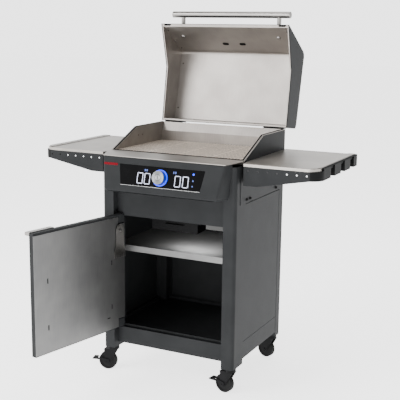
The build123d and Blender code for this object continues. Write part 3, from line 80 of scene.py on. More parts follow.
# ---- colour and node helpers -----------------------------------------------
def linear(text):
    """sRGB hex to the linear colour that shaders take."""
    values = [int(text[i:i + 2], 16) / 255 for i in (1, 3, 5)]
    return tuple(v / 12.92 if v <= 0.04045 else ((v + 0.055) / 1.055) ** 2.4 for v in values) + (1.0,)


def add(tree, kind, settings=None, values=None, links=None):
    """Adds one node, sets its properties and socket values and links its inputs."""
    node = tree.nodes.new("ShaderNode" + kind)
    for key, value in (settings or {}).items():
        setattr(node, key, value)
    for key, value in (values or {}).items():
        node.inputs[key].default_value = value
    for key, source in (links or {}).items():
        tree.links.new(source, node.inputs[key])
    return node


def new_material(name, **sockets):
    """A material with its shader's uniform values set on the shader's own sockets."""
    material = bpy.data.materials.new(name)
    material.use_nodes = True
    tree = material.node_tree
    shader = tree.nodes["Principled BSDF"]
    for key, value in sockets.items():
        shader.inputs[key.replace("_", " ")].default_value = value
    return material, tree, shader


def ramp(tree, source, low, high, from_low, from_high):
    """Maps a pattern's values to a range, for roughness and masks."""
    node = add(tree, "MapRange", values={"From Min": from_low, "From Max": from_high,
                                         "To Min": low, "To Max": high}, links={"Value": source})
    return node.outputs["Result"]


def stretched_noise(tree, stretch, size_mm, detail=3.0, seed=(0.0, 0.0, 0.0)):
    """Noise of a feature size in millimetres, drawn out along the axes with a small stretch value."""
    place = add(tree, "TexCoord")
    mapping = add(tree, "Mapping", values={"Scale": stretch, "Location": seed},
                  links={"Vector": place.outputs["Object"]})
    noise = add(tree, "TexNoise", values={"Scale": 1.0 / (size_mm * MM), "Detail": detail, "Roughness": 0.6},
                links={"Vector": mapping.outputs["Vector"]})
    return noise.outputs["Fac"]


def two_tone(tree, factor, low_hex, high_hex):
    """Colour that wanders between two close tones."""
    mix = add(tree, "Mix", settings={"data_type": "RGBA"}, links={"Factor": factor})
    mix.inputs[6].default_value = linear(low_hex)
    mix.inputs[7].default_value = linear(high_hex)
    return mix.outputs[2]


def bump(tree, shader, height, strength, depth_mm):
    """Relief of a depth in millimetres."""
    node = add(tree, "Bump", values={"Strength": strength, "Distance": depth_mm * MM}, links={"Height": height})
    tree.links.new(node.outputs["Normal"], shader.inputs["Normal"])


# ---- materials -------------------------------------------------------------
def powder_coat(name, low_hex, high_hex, rough_low, rough_high):
    """Powder-coated steel: baked polyester paint, satin, with the fine orange peel of fused powder."""
    material, tree, shader = new_material(name, IOR=1.5, Specular_IOR_Level=0.06)
    # Peel cells are 1 to 2 mm across on a real coat.
    peel = stretched_noise(tree, (1, 1, 1), 1.6)
    cloud = stretched_noise(tree, (1, 1, 1), 90.0, detail=2.0)
    tree.links.new(two_tone(tree, ramp(tree, cloud, 0, 1, 0.35, 0.65), low_hex, high_hex), shader.inputs["Base Color"])
    tree.links.new(ramp(tree, peel, rough_low, rough_high, 0.3, 0.7), shader.inputs["Roughness"])
    bump(tree, shader, peel, 0.25, 0.06)
    return material


def brushed_steel(name, low_hex, high_hex, rough_low, rough_high, stretch, grain_mm=1.2, metallic=1.0, relief=0.2):
    """Stainless sheet, belt-brushed one way: fine parallel scratches that spread the highlight."""
    material, tree, shader = new_material(name, Metallic=metallic)
    # Belt scratches are about 0.1 mm apart; they are drawn coarser, because finer ones would not show.
    lines = stretched_noise(tree, stretch, grain_mm, detail=4.0)
    cloud = stretched_noise(tree, (1, 1, 1), 120.0, detail=2.0, seed=(3.1, 1.7, 0.4))
    both = add(tree, "Math", settings={"operation": "ADD"}, links={0: lines, 1: cloud})
    half = add(tree, "Math", settings={"operation": "MULTIPLY"}, values={1: 0.5}, links={0: both.outputs[0]})
    tone = ramp(tree, half.outputs[0], 0, 1, 0.35, 0.65)
    tree.links.new(two_tone(tree, tone, low_hex, high_hex), shader.inputs["Base Color"])
    tree.links.new(ramp(tree, lines, rough_low, rough_high, 0.3, 0.7), shader.inputs["Roughness"])
    bump(tree, shader, lines, relief, 0.05)
    return material


def cooking_bars(name):
    """Stainless rod over heat: crowns painted pale, a painted highlight and partly scraped clean; flanks painted brown,
    painted shade and partly baked-on fat.
    """
    material, tree, shader = new_material(name, Metallic=0.35)
    place = add(tree, "TexCoord")
    facing = add(tree, "SeparateXYZ", links={"Vector": place.outputs["Normal"]})
    # Faces turned upward take the pale tone as a painted highlight; the flanks take the brown as painted shade.
    crown_sheen_and_scrape = ramp(tree, facing.outputs["Z"], 0, 1, 0.55, 0.93)
    # Stains run 10 to 30 mm along a bar.
    stain = stretched_noise(tree, (1.0, 0.4, 1.0), 8.0)
    pale = two_tone(tree, ramp(tree, stain, 0, 1, 0.35, 0.65), "#dccdbd", "#f0e2d2")
    mix = add(tree, "Mix", settings={"data_type": "RGBA"}, links={"Factor": crown_sheen_and_scrape})
    # Brown of the flanks: painted shade, partly baked-on fat.
    mix.inputs[6].default_value = linear("#3f3832")
    tree.links.new(pale, mix.inputs[7])
    tree.links.new(mix.outputs[2], shader.inputs["Base Color"])
    tree.links.new(ramp(tree, stain, 0.34, 0.5, 0.3, 0.7), shader.inputs["Roughness"])
    bump(tree, shader, stain, 0.2, 0.05)
    return material


def moulded_plastic(name, low_hex, high_hex, rough_low, rough_high, grain_mm=0.8):
    """Glass-filled nylon or ABS from a spark-eroded mould: even fine grain, soft sheen."""
    material, tree, shader = new_material(name, IOR=1.48, Specular_IOR_Level=0.07)
    grain = stretched_noise(tree, (1, 1, 1), grain_mm)
    tree.links.new(two_tone(tree, ramp(tree, grain, 0, 1, 0.3, 0.7), low_hex, high_hex), shader.inputs["Base Color"])
    tree.links.new(ramp(tree, grain, rough_low, rough_high, 0.3, 0.7), shader.inputs["Roughness"])
    bump(tree, shader, grain, 0.3, 0.05)
    return material


def rubber_tread(name):
    """Solid rubber tyre: dull black, dusted a little where it rolls."""
    material, tree, shader = new_material(name, IOR=1.52, Specular_IOR_Level=0.12)
    dust = stretched_noise(tree, (1, 1, 1), 6.0)
    tree.links.new(two_tone(tree, ramp(tree, dust, 0, 1, 0.4, 0.75), "#0e0e0f", "#1c1c1b"), shader.inputs["Base Color"])
    tree.links.new(ramp(tree, dust, 0.62, 0.8, 0.3, 0.7), shader.inputs["Roughness"])
    bump(tree, shader, dust, 0.2, 0.2)
    return material


def smoked_glass(name):
    """Back-printed toughened glass over a dark display: black and glossy, faintly smeared."""
    material, tree, shader = new_material(name, IOR=1.52, Specular_IOR_Level=0.06)
    smear = stretched_noise(tree, (1, 1, 1), 40.0, detail=4.0)
    tree.links.new(two_tone(tree, smear, "#030304", "#070708"), shader.inputs["Base Color"])
    tree.links.new(ramp(tree, smear, 0.06, 0.16, 0.35, 0.65), shader.inputs["Roughness"])
    return material


def turned_aluminium(name):
    """Lathe-turned aluminium, clear anodised: tool marks round the axis throw a fan of light."""
    material, tree, shader = new_material(name, Metallic=1.0, Anisotropic=0.85)
    place = add(tree, "TexCoord")
    arm = add(tree, "VectorMath", settings={"operation": "SUBTRACT"}, values={1: tuple(knob_middle())},
              links={0: place.outputs["Object"]})
    round_way = add(tree, "VectorMath", settings={"operation": "CROSS_PRODUCT"}, values={0: tuple(FASCIA_OUT)},
                    links={1: arm.outputs[0]})
    tree.links.new(round_way.outputs[0], shader.inputs["Tangent"])
    reach = add(tree, "VectorMath", settings={"operation": "LENGTH"}, links={0: arm.outputs[0]})
    # Tool marks are 0.1 mm apart; they are drawn 1.5 mm apart to show.
    marks = add(tree, "TexNoise", settings={"noise_dimensions": "1D"}, values={"Scale": 1 / (1.5 * MM), "Detail": 2.0},
                links={"W": reach.outputs["Value"]})
    fac = marks.outputs["Fac"]
    tree.links.new(two_tone(tree, ramp(tree, fac, 0, 1, 0.3, 0.7), "#66686a", "#939597"), shader.inputs["Base Color"])
    tree.links.new(ramp(tree, fac, 0.24, 0.38, 0.3, 0.7), shader.inputs["Roughness"])
    return material


def lit_window(name, core_hex, strength, body_hex):
    """Clear acrylic lit from behind: the colour comes from its own light, a little uneven."""
    material, tree, shader = new_material(name, IOR=1.49, Roughness=0.25, Emission_Strength=strength)
    spread = stretched_noise(tree, (1, 1, 1), 12.0)
    tree.links.new(two_tone(tree, spread, body_hex, core_hex), shader.inputs["Base Color"])
    tree.links.new(two_tone(tree, ramp(tree, spread, 0, 1, 0.2, 0.8), body_hex, core_hex),
                   shader.inputs["Emission Color"])
    return material


def circuit_board(name):
    """Glass-epoxy board under green solder mask."""
    material, tree, shader = new_material(name, IOR=1.5, Roughness=0.35)
    weave = stretched_noise(tree, (1, 1, 1), 2.0)
    tree.links.new(two_tone(tree, weave, "#123a22", "#1c5230"), shader.inputs["Base Color"])
    return material


def woven_gasket(name):
    """Knitted glass-fibre rope seal, grey-black with a visible stitch."""
    material, tree, shader = new_material(name, IOR=1.5, Specular_IOR_Level=0.1)
    stitch = stretched_noise(tree, (1, 1, 1), 2.5)
    tree.links.new(two_tone(tree, stitch, "#0c0c0d", "#222221"), shader.inputs["Base Color"])
    tree.links.new(ramp(tree, stitch, 0.8, 0.95, 0.3, 0.7), shader.inputs["Roughness"])
    bump(tree, shader, stitch, 0.6, 0.5)
    return material


def enamel(name, low_hex, high_hex, rough_low=0.3, rough_high=0.42):
    """Vitreous enamel or thick gloss lacquer: deep colour under a smooth shine."""
    material, tree, shader = new_material(name, IOR=1.54, Specular_IOR_Level=0.06)
    flow = stretched_noise(tree, (1, 1, 1), 8.0)
    tree.links.new(two_tone(tree, flow, low_hex, high_hex), shader.inputs["Base Color"])
    tree.links.new(ramp(tree, flow, rough_low, rough_high, 0.3, 0.7), shader.inputs["Roughness"])
    return material


def pale_floor(name, hex_text):
    """Seamless studio paper, lit a little from below as on a light table."""
    material, tree, shader = new_material(name, Roughness=0.9, Emission_Strength=FLOOR_GLOW)
    shader.inputs["Emission Color"].default_value = linear("#ffffff")
    fibre = stretched_noise(tree, (1, 1, 1), 30.0)
    tree.links.new(two_tone(tree, fibre, hex_text, "#ffffff"), shader.inputs["Base Color"])
    return material


# ---- geometry helpers ------------------------------------------------------
SMOOTH_BELOW = math.radians(35.0)

# The sloping front of the housing, from its top edge.
FASCIA_TOP = Vector((0.0, -0.278, 0.902))
FASCIA_TILT = math.atan2(33.0, 134.0)
FASCIA_DOWN = Vector((0.0, -math.sin(FASCIA_TILT), -math.cos(FASCIA_TILT)))
FASCIA_OUT = Vector((0.0, -math.cos(FASCIA_TILT), math.sin(FASCIA_TILT)))
KNOB_DOWN = 67.5 * MM
GLASS_FRONT = 1.0 * MM

# The hood: its hinge, and the corners of its profile while it is shut, which the turn then opens.
HOOD_AXIS = Vector((0.0, 0.243, 0.987))
HOOD_TURN = Matrix.Translation(HOOD_AXIS) @ Matrix.Rotation(math.radians(-99.0), 4, "X") \
    @ Matrix.Translation(-HOOD_AXIS)
HOOD_BEND = Vector((0.0, -0.082, 1.122))
HOOD_FOOT = Vector((0.0, -0.168, 0.9142))
HOOD_REAR = Vector((0.0, 0.237, 1.096))
HOOD_WALL = 9.0 * MM


def knob_middle():
    """Centre of the knob on the fascia."""
    return FASCIA_TOP + FASCIA_DOWN * KNOB_DOWN


def fascia_matrix():
    """Turns X across, Y up the fascia and Z outward into the frame's axes."""
    return axes_matrix(FASCIA_TOP, Vector((1, 0, 0)), -FASCIA_DOWN, FASCIA_OUT)


def axes_matrix(origin, x_way, y_way, z_way):
    """Places a sketch by its origin and the directions of its three axes."""
    columns = (x_way, y_way, z_way)
    return Matrix.Translation(origin) @ Matrix([[c[row] for c in columns] for row in range(3)]).to_4x4()


def hood_matrix(start, end, along, deep):
    """On the open hood: Y runs back towards start, Z into the hood, from a point on the line to end."""
    run = (end - start).normalized()
    inward = Vector((0.0, -run.z, run.y))
    if inward.z > 0:
        inward = -inward
    x_way = (-run).cross(inward)
    origin = start + run * along + inward * deep
    return HOOD_TURN @ axes_matrix(origin, x_way, -run, inward)


def finish_piece(name, bm, material, body, place):
    """Makes an object from a bmesh, at the origin with its place in its mesh, and rides it on a body."""
    bmesh.ops.transform(bm, matrix=place, verts=bm.verts)
    bmesh.ops.remove_doubles(bm, verts=bm.verts, dist=1e-6)
    bmesh.ops.recalc_face_normals(bm, faces=bm.faces)
    mesh = bpy.data.meshes.new(name)
    bm.to_mesh(mesh)
    bm.free()
    piece = bpy.data.objects.new(name, mesh)
    bpy.context.collection.objects.link(piece)
    mesh.materials.append(material)
    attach(piece, body)
    return piece


def add_block(bm, centre, size, soften=0.0):
    """A block, with its edges softened where soften is given."""
    made = bmesh.ops.create_cube(bm, size=1.0)
    bmesh.ops.scale(bm, vec=size, verts=made["verts"])
    bmesh.ops.translate(bm, vec=centre, verts=made["verts"])
    if soften > 0:
        edges = list({e for v in made["verts"] for e in v.link_edges})
        bmesh.ops.bevel(bm, geom=edges, offset=soften, offset_type="OFFSET", segments=2, profile=0.5,
                        affect="EDGES", material=-1)


def add_disc(bm, centre, radius, height, segments):
    """A round plate standing along Z on its centre."""
    made = bmesh.ops.create_cone(bm, cap_ends=True, segments=segments, radius1=radius, radius2=radius, depth=height)
    bmesh.ops.translate(bm, vec=Vector(centre) + Vector((0, 0, height / 2)), verts=made["verts"])


def sink_top(bm, verts, rim, depth):
    """Insets the top face of a fresh shape by a rim and sinks what is inside it."""
    top = max({f for v in verts for f in v.link_faces}, key=lambda f: f.calc_center_median().z)
    bmesh.ops.inset_region(bm, faces=[top], thickness=rim, use_even_offset=True)
    bmesh.ops.translate(bm, vec=(0, 0, -depth), verts=top.verts)


def add_obround(bm, centre, length, width, height, rim, dish):
    """A round-ended pad along X, with its top sunk inside a rim, or raised where dish is negative."""
    made = bmesh.ops.create_cone(bm, cap_ends=True, segments=24, radius1=width / 2, radius2=width / 2, depth=height)
    for vert in made["verts"]:
        vert.co.x += math.copysign((length - width) / 2, vert.co.x)
    bmesh.ops.translate(bm, vec=Vector(centre) + Vector((0, 0, height / 2)), verts=made["verts"])
    sink_top(bm, made["verts"], rim, dish)


def add_screw(bm, x, y, radius=3.6, height=2.2):
    """A screw head with a sunk socket, standing on Z = 0; radius and height are in millimetres."""
    made = bmesh.ops.create_cone(bm, cap_ends=True, segments=18, radius1=radius, radius2=radius * 0.72,
                                 depth=height * MM)
    bmesh.ops.scale(bm, vec=(MM, MM, 1.0), verts=made["verts"])
    bmesh.ops.translate(bm, vec=(x, y, height * MM / 2), verts=made["verts"])
    sink_top(bm, made["verts"], radius * 0.3 * MM, height * 0.5 * MM)


def shade(piece):
    """Smooth shading over bends below SMOOTH_BELOW."""
    for polygon in piece.data.polygons:
        polygon.use_smooth = True
    piece.data.set_sharp_from_angle(angle=SMOOTH_BELOW)


def paint_nodes(material, *names):
    """Gives the named CAD nodes a material."""
    for name in names:
        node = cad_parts[name]
        for index in range(len(node.material_slots)):
            node.material_slots[index].material = material
        if not node.material_slots:
            node.data.materials.append(material)


# ---- sizes and colours -----------------------------------------------------
class GrillCartFinish(bpy.types.PropertyGroup):
    paint_dark: StringProperty(name="Paint, dark", description="Darker tone of the powder coat", default="#222324")
    paint_light: StringProperty(name="Paint, light", description="Lighter tone of the powder coat", default="#262728")
    badge: StringProperty(name="Badge", description="Colour of the plain badge", default="#620412")
    lit: BoolProperty(name="Display on", description="Lights the readouts and the ring", default=True)


class GrillCartSizes(bpy.types.PropertyGroup):
    digit_height: FloatProperty(name="Digit height", description="Height of a readout digit", default=42 * MM,
                                unit="LENGTH", subtype="DISTANCE")
    digit_width: FloatProperty(name="Digit width", description="Width of a readout digit", default=25 * MM,
                               unit="LENGTH", subtype="DISTANCE")
    segment: FloatProperty(name="Segment width", description="Width of one lit bar", default=2.7 * MM,
                           unit="LENGTH", subtype="DISTANCE")
    badge_width: FloatProperty(name="Badge width", description="Width of the badge", default=62 * MM,
                               unit="LENGTH", subtype="DISTANCE")
    badge_height: FloatProperty(name="Badge height", description="Height of the badge", default=9 * MM,
                                unit="LENGTH", subtype="DISTANCE")


# ---- operators -------------------------------------------------------------
class PaintedSheet(bpy.types.Operator):
    """Powder coats the legs, panels, casings, door, hood and housing"""
    bl_idname = "grill_cart.painted_sheet"
    bl_label = "Painted sheet"

    def execute(self, context):
        finish = context.scene.grill_cart_finish
        coat = powder_coat("powder_coated_steel", finish.paint_dark, finish.paint_light, 0.42, 0.56)
        paint_nodes(coat, "leg_front_left", "leg_front_right", "rear_legs", "bottom_rails", "side_panel_left",
                    "side_panel_right", "side_casings", "front_panel", "shelf_apron_left", "shelf_apron_right",
                    "firebox_shell", "lid_shell", "lid_end_plates", "door_skin", "control_housing",
                    "back_panel", "floor_pan", "tray_rails")
        return {"FINISHED"}


class StainlessSheet(bpy.types.Operator):
    """Brushes the shelves, deck, liners, door sheet and rail"""
    bl_idname = "grill_cart.stainless_sheet"
    bl_label = "Stainless sheet"

    def execute(self, context):
        across = (0.02, 1.0, 1.0)
        top = brushed_steel("brushed_stainless_top", "#8f8b86", "#a5a09a", 0.34, 0.46, across)
        paint_nodes(top, "shelf_top_left", "shelf_top_right", "front_deck")
        # The door sheet is a darker copy of the brushed top, brushed up the sheet: its darker tone is painted shade.
        upright = brushed_steel("brushed_stainless_upright_painted_shade", "#686868", "#787877", 0.38, 0.5, (1.0, 1.0, 0.02))
        paint_nodes(upright, "door_inner_panel")
        zinc = brushed_steel("zinc_plated_catch", "#333333", "#3f3f3e", 0.5, 0.62, (1, 1, 1), metallic=0.5)
        paint_nodes(zinc, "door_catch")
        shelf = brushed_steel("galvanised_shelf", "#6a6a6a", "#7c7c7b", 0.42, 0.55, across, metallic=0.5)
        paint_nodes(shelf, "middle_shelf")
        hood = brushed_steel("bright_annealed_hood", "#8f8a86", "#a7a29d", 0.36, 0.5, (1.0, 0.03, 0.03))
        paint_nodes(hood, "lid_liner", "firebox_liner")
        # The pan under the grates is dark: partly heat tint, partly painted shade for the depth below the grates.
        pan = brushed_steel("heat_tinted_pan_painted_shade", "#3b3430", "#544a43", 0.4, 0.55, (1.0, 0.1, 0.1))
        paint_nodes(pan, "heat_reflector")
        bright = brushed_steel("satin_rail", "#83817e", "#999693", 0.26, 0.34, across, grain_mm=0.8)
        paint_nodes(bright, "lid_handle", "lid_handle_posts", "door_handle", "scraper")
        return {"FINISHED"}


class CookingSteel(bpy.types.Operator):
    """Heat-tints the grates and heaters, enamels the grease tray; the grates carry painted highlights on their crowns
    and painted shade on their flanks
    """
    bl_idname = "grill_cart.cooking_steel"
    bl_label = "Grates, heaters and tray"

    def execute(self, context):
        paint_nodes(cooking_bars("grate_heat_tint_and_painted_light"), "grate_1", "grate_2", "grate_3", "grate_4")
        heater = brushed_steel("oxidised_heater", "#3a3634", "#57504a", 0.45, 0.6, (1, 1, 1), grain_mm=9.0)
        paint_nodes(heater, "heating_elements")
        paint_nodes(enamel("black_enamel_tray", "#040405", "#080809"), "grease_tray")
        paint_nodes(woven_gasket("woven_gasket"), "rim_gasket")
        return {"FINISHED"}


class MouldedParts(bpy.types.Operator):
    """Finishes the moulded end caps, the inlet and the caster parts"""
    bl_idname = "grill_cart.moulded_parts"
    bl_label = "Moulded parts"

    CORNERS = ("front_left", "front_right", "rear_left", "rear_right")

    def execute(self, context):
        cap = moulded_plastic("moulded_nylon_cap", "#0d0e0e", "#131414", 0.5, 0.64)
        paint_nodes(cap, "shelf_end_cap_left", "shelf_end_cap_right", "power_inlet")
        black = powder_coat("black_zinc_and_paint", "#0f0f10", "#161617", 0.38, 0.5)
        paint_nodes(black, "screws", "lid_hinge_brackets", "lid_hinge_leaves", "door_hinge_brackets",
                    "caster_stems", *["caster_fork_" + c for c in self.CORNERS])
        brake = moulded_plastic("moulded_brake_pedal", "#101011", "#161617", 0.5, 0.62)
        paint_nodes(brake, "caster_brake_front_left", "caster_brake_front_right")
        paint_nodes(rubber_tread("rubber_wheel"), *["caster_wheel_" + c for c in self.CORNERS])
        return {"FINISHED"}


class ControlPanel(bpy.types.Operator):
    """Finishes the glass, knob and ring, and draws the lit readouts"""
    bl_idname = "grill_cart.control_panel"
    bl_label = "Control panel"

    # The lit bars of a zero: side, height and whether the bar lies flat.
    ZERO = ((0, 1, True), (0, -1, True), (-1, 0.5, False), (1, 0.5, False), (-1, -0.5, False), (1, -0.5, False))
    PRINT_LIFT = 0.1 * MM
    PRINT_DEPTH = 0.3 * MM
    DIGITS_X = (-86.0, -55.0, 74.0, 107.0)
    ICONS_X = (-67.0, -59.0, 55.0, 63.0)
    MARKS_X = 137.0

    def digit(self, bm, sizes, x, y):
        """Draws one zero on the glass."""
        width, height, bar = sizes.digit_width, sizes.digit_height, sizes.segment
        for side, rise, flat in self.ZERO:
            centre = (x + side * (width - bar) / 2, y + rise * (height - bar) / 2, GLASS_FRONT + self.PRINT_LIFT)
            long_side = width - 2.2 * bar if flat else height / 2 - 0.9 * bar
            add_block(bm, centre, (long_side, bar, self.PRINT_DEPTH) if flat else (bar, long_side, self.PRINT_DEPTH))

    def mark(self, bm, down, radius, segments):
        """Draws a round mark on the glass's right, down from the fascia's top edge."""
        add_disc(bm, (self.MARKS_X * MM, -down * MM, GLASS_FRONT - self.PRINT_LIFT), radius * MM, self.PRINT_DEPTH,
                 segments)

    def execute(self, context):
        finish, sizes = context.scene.grill_cart_finish, context.scene.grill_cart_sizes
        paint_nodes(smoked_glass("smoked_glass"), "display_glass")
        paint_nodes(turned_aluminium("turned_aluminium"), "control_knob")
        paint_nodes(circuit_board("circuit_board"), "control_board")
        glow = 1.0 if finish.lit else 0.0
        paint_nodes(lit_window("lit_ring", "#0a3cff", 1.6 * glow, "#0526c8"), "knob_ring")
        place = fascia_matrix()
        white = lit_window("lit_digits", "#cfd4e6", 1.0 * glow, "#aab0c6")
        bm = bmesh.new()
        for x in self.DIGITS_X:
            self.digit(bm, sizes, x * MM, -74.5 * MM)
        finish_piece("display_readouts", bm, white, "cart", place)
        bm = bmesh.new()
        for x in self.ICONS_X:
            add_block(bm, (x * MM, -43 * MM, GLASS_FRONT + self.PRINT_LIFT), (5 * MM, 8 * MM, self.PRINT_DEPTH))
        for down in (67.0, 87.0):
            self.mark(bm, down, 3.0, 16)
        dim = lit_window("dim_icons", "#4a5fa0", 0.7 * glow, "#2a3a70")
        finish_piece("display_icons", bm, dim, "cart", place)
        trim = brushed_steel("bright_trim", "#9a9a9a", "#b8b8b8", 0.25, 0.35, (0.05, 1, 1))
        bm = bmesh.new()
        add_block(bm, (0, -105.4 * MM, 0.5 * MM), (338 * MM, 1.8 * MM, 1.6 * MM), 0.5 * MM)
        finish_piece("glass_lower_trim", bm, trim, "cart", place)
        bm = bmesh.new()
        self.mark(bm, 43.0, 4.0, 20)
        finish_piece("display_power_mark", bm, lit_window("power_mark", "#1440ff", 1.6 * glow, "#0a2bd0"), "cart",
                     place)
        return {"FINISHED"}


class Badge(bpy.types.Operator):
    """Adds the plain badge on the left of the housing"""
    bl_idname = "grill_cart.badge"
    bl_label = "Badge"

    MIDDLE = (-221.0 * MM, -30.0 * MM, 0.5 * MM)
    THICK, SOFTEN = 1.6 * MM, 0.5 * MM

    def execute(self, context):
        finish, sizes = context.scene.grill_cart_finish, context.scene.grill_cart_sizes
        bm = bmesh.new()
        add_block(bm, self.MIDDLE, (sizes.badge_width, sizes.badge_height, self.THICK), self.SOFTEN)
        lacquer = enamel("badge_enamel", finish.badge, finish.badge, 0.25, 0.35)
        finish_piece("plain_badge", bm, lacquer, "cart", fascia_matrix())
        return {"FINISHED"}


class HoodFittings(bpy.types.Operator):
    """Adds black plugs over the hood's ports as painted shade in the port holes, the rubber stops and the liner screws
    """
    bl_idname = "grill_cart.hood_fittings"
    bl_label = "Hood fittings"

    # Millimetres from the middle, and down the sheet from its upper bend.
    PORTS_X, PORTS_DOWN = (-39.5, 39.5), 82.0
    STOPS_X, STOPS_BACK = (-262.0, 262.0), 5.0
    SCREWS_X = (-272.0, 272.0)
    SCREW_ROWS = {"front": (40.0, 110.0, 185.0), "top": (60.0, 260.0)}
    # A point on the slope that the hood's cheeks follow up from the front edge.
    CHEEK_TOP = Vector((0.0, 0.004, 0.9885))

    def execute(self, context):
        rubber = moulded_plastic("black_silicone_rubber", "#060606", "#0b0b0b", 0.55, 0.7)
        bm = bmesh.new()
        # Black plugs sit over the port holes: painted shade for the dark inside of the holes.
        for x in self.PORTS_X:
            add_obround(bm, (x * MM, 0, -0.4 * MM), 29 * MM, 17 * MM, 1.8 * MM, rim=1.8 * MM, dish=1.0 * MM)
        shade(finish_piece("hood_port_shade_plugs", bm, rubber, "lid",
                           hood_matrix(HOOD_BEND, HOOD_FOOT, self.PORTS_DOWN * MM, HOOD_WALL)))
        bm = bmesh.new()
        slope = (self.CHEEK_TOP - HOOD_FOOT).normalized()
        out = Vector((0.0, slope.z, -slope.y))
        place = HOOD_TURN @ axes_matrix(HOOD_FOOT + slope * self.STOPS_BACK * MM, slope.cross(out), slope, out)
        for x in self.STOPS_X:
            add_obround(bm, (x * MM, 0, 0), 30 * MM, 7 * MM, 3.0 * MM, rim=1.0 * MM, dish=-0.2 * MM)
        shade(finish_piece("hood_stops", bm, rubber, "lid", place))
        steel = brushed_steel("screw_steel", "#4c4a48", "#66635f", 0.3, 0.42, (1, 1, 1))
        for label, end in (("front", HOOD_FOOT), ("top", HOOD_REAR)):
            bm = bmesh.new()
            for row in self.SCREW_ROWS[label]:
                for x in self.SCREWS_X:
                    add_screw(bm, x * MM, -row * MM)
            shade(finish_piece("hood_liner_screws_" + label, bm, steel, "lid",
                               hood_matrix(HOOD_BEND, end, 0.0, HOOD_WALL)))
        return {"FINISHED"}


class PanelFasteners(bpy.types.Operator):
    """Adds the socket bolts of the side casings and the rear panel's screws"""
    bl_idname = "grill_cart.panel_fasteners"
    bl_label = "Panel fasteners"

    CASING_FACE, CASING_BOLTS_Z = 289.4, 759.0
    CASING_BOLTS_Y = (-149.0, -118.0, 143.0)
    REAR_FACE = 241.9
    REAR_SCREWS_X = (-225.0, 0.0, 225.0)
    REAR_SCREWS_Z = (215.0, 540.0, 875.0)

    def execute(self, context):
        black = enamel("black_oxide_bolt", "#050505", "#0b0b0b", 0.35, 0.5)
        for label, side in (("right", 1), ("left", -1)):
            bm = bmesh.new()
            for y in self.CASING_BOLTS_Y:
                add_screw(bm, side * y * MM, self.CASING_BOLTS_Z * MM, radius=6.0, height=5.4)
            place = axes_matrix(Vector((side * self.CASING_FACE * MM, 0, 0)), Vector((0, side, 0)),
                                Vector((0, 0, 1)), Vector((side, 0, 0)))
            shade(finish_piece("casing_bolts_" + label, bm, black, "cart", place))
        bm = bmesh.new()
        for x in self.REAR_SCREWS_X:
            for z in self.REAR_SCREWS_Z:
                add_screw(bm, -x * MM, z * MM, radius=4.5, height=2.4)
        rear = axes_matrix(Vector((0, self.REAR_FACE * MM, 0)), Vector((-1, 0, 0)), Vector((0, 0, 1)),
                           Vector((0, 1, 0)))
        shade(finish_piece("rear_panel_screws", bm, black, "cart", rear))
        return {"FINISHED"}


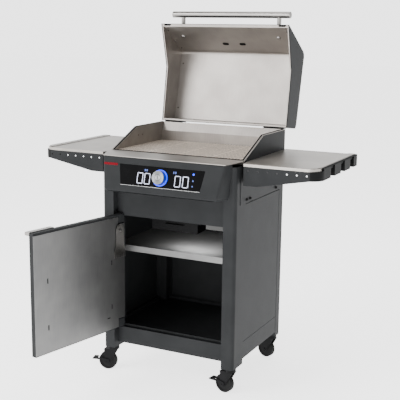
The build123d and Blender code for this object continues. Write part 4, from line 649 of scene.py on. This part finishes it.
class Stage(bpy.types.Operator):
    """Adds the floor, the studio lights and the camera"""
    bl_idname = "grill_cart.stage"
    bl_label = "Stage"

    def light(self, name, place, target, size, power):
        data = bpy.data.lights.new(name, "AREA")
        data.shape = "RECTANGLE"
        data.size, data.size_y = size
        data.energy = power
        lamp = bpy.data.objects.new(name, data)
        bpy.context.collection.objects.link(lamp)
        aim = Vector(target) - Vector(place)
        lamp.location = place
        lamp.visible_camera = False
        lamp.rotation_euler = aim.to_track_quat("-Z", "Y").to_euler()

    def execute(self, context):
        bm = bmesh.new()
        bmesh.ops.create_grid(bm, x_segments=1, y_segments=1, size=FLOOR_REACH)
        mesh = bpy.data.meshes.new("studio_floor")
        bm.to_mesh(mesh)
        bm.free()
        floor = bpy.data.objects.new("studio_floor", mesh)
        bpy.context.collection.objects.link(floor)
        mesh.materials.append(pale_floor("studio_paper", "#fbfbfb"))
        world = bpy.data.worlds.new("studio_air")
        context.scene.world = world
        world.use_nodes = True
        tree = world.node_tree
        background = tree.nodes["Background"]
        background.inputs["Color"].default_value = linear("#ffffff")
        place = add(tree, "TexCoord")
        parts = add(tree, "SeparateXYZ", links={"Vector": place.outputs["Generated"]})
        height = ramp(tree, parts.outputs["Z"], SKY_LOW, SKY_HIGH, 0.05, 0.6)
        flag = ramp(tree, parts.outputs["X"], 1.0, FLAG, -0.05, 0.4)
        light = add(tree, "Math", settings={"operation": "MULTIPLY"}, links={0: height, 1: flag})
        tree.links.new(light.outputs[0], background.inputs["Strength"])
        for name, settings in LIGHTS.items():
            self.light(name, *settings)
        self.camera(context)
        return {"FINISHED"}

    def camera(self, context):
        data = bpy.data.cameras.new("camera")
        data.sensor_width = FILM_WIDTH
        data.lens = LENS
        camera = bpy.data.objects.new("camera", data)
        bpy.context.collection.objects.link(camera)
        azimuth, elevation, roll = (math.radians(v) for v in CAMERA_ANGLES)
        back = Vector((math.sin(azimuth) * math.cos(elevation), -math.cos(azimuth) * math.cos(elevation),
                       math.sin(elevation)))
        level = Vector((math.cos(azimuth), math.sin(azimuth), 0))
        rise = back.cross(level)
        right = math.cos(roll) * level + math.sin(roll) * rise
        up = -math.sin(roll) * level + math.cos(roll) * rise
        camera.matrix_world = axes_matrix(CAMERA_PLACE, right, up, back)
        context.scene.camera = camera


class GrillCartPanel(bpy.types.Panel):
    bl_idname = "VIEW3D_PT_grill_cart"
    bl_label = "Grill Cart"
    bl_space_type = "VIEW_3D"
    bl_region_type = "UI"
    bl_category = "Grill Cart"

    def draw(self, context):
        for group in (context.scene.grill_cart_finish, context.scene.grill_cart_sizes):
            for name in group.bl_rna.properties.keys():
                if name not in ("rna_type", "name"):
                    self.layout.prop(group, name)
        for step in STEPS:
            self.layout.operator(step.bl_idname)


STEPS = (Stage, PaintedSheet, StainlessSheet, CookingSteel, MouldedParts, ControlPanel, Badge, HoodFittings,
         PanelFasteners)
CLASSES = (GrillCartFinish, GrillCartSizes) + STEPS + (GrillCartPanel,)


def register():
    for cls in CLASSES:
        bpy.utils.register_class(cls)
    bpy.types.Scene.grill_cart_finish = PointerProperty(type=GrillCartFinish)
    bpy.types.Scene.grill_cart_sizes = PointerProperty(type=GrillCartSizes)


def unregister():
    del bpy.types.Scene.grill_cart_finish
    del bpy.types.Scene.grill_cart_sizes
    for cls in reversed(CLASSES):
        bpy.utils.unregister_class(cls)


def main():
    register()
    for step in STEPS:
        space, name = step.bl_idname.split(".")
        getattr(getattr(bpy.ops, space), name)()


if __name__ == "__main__":
    main()
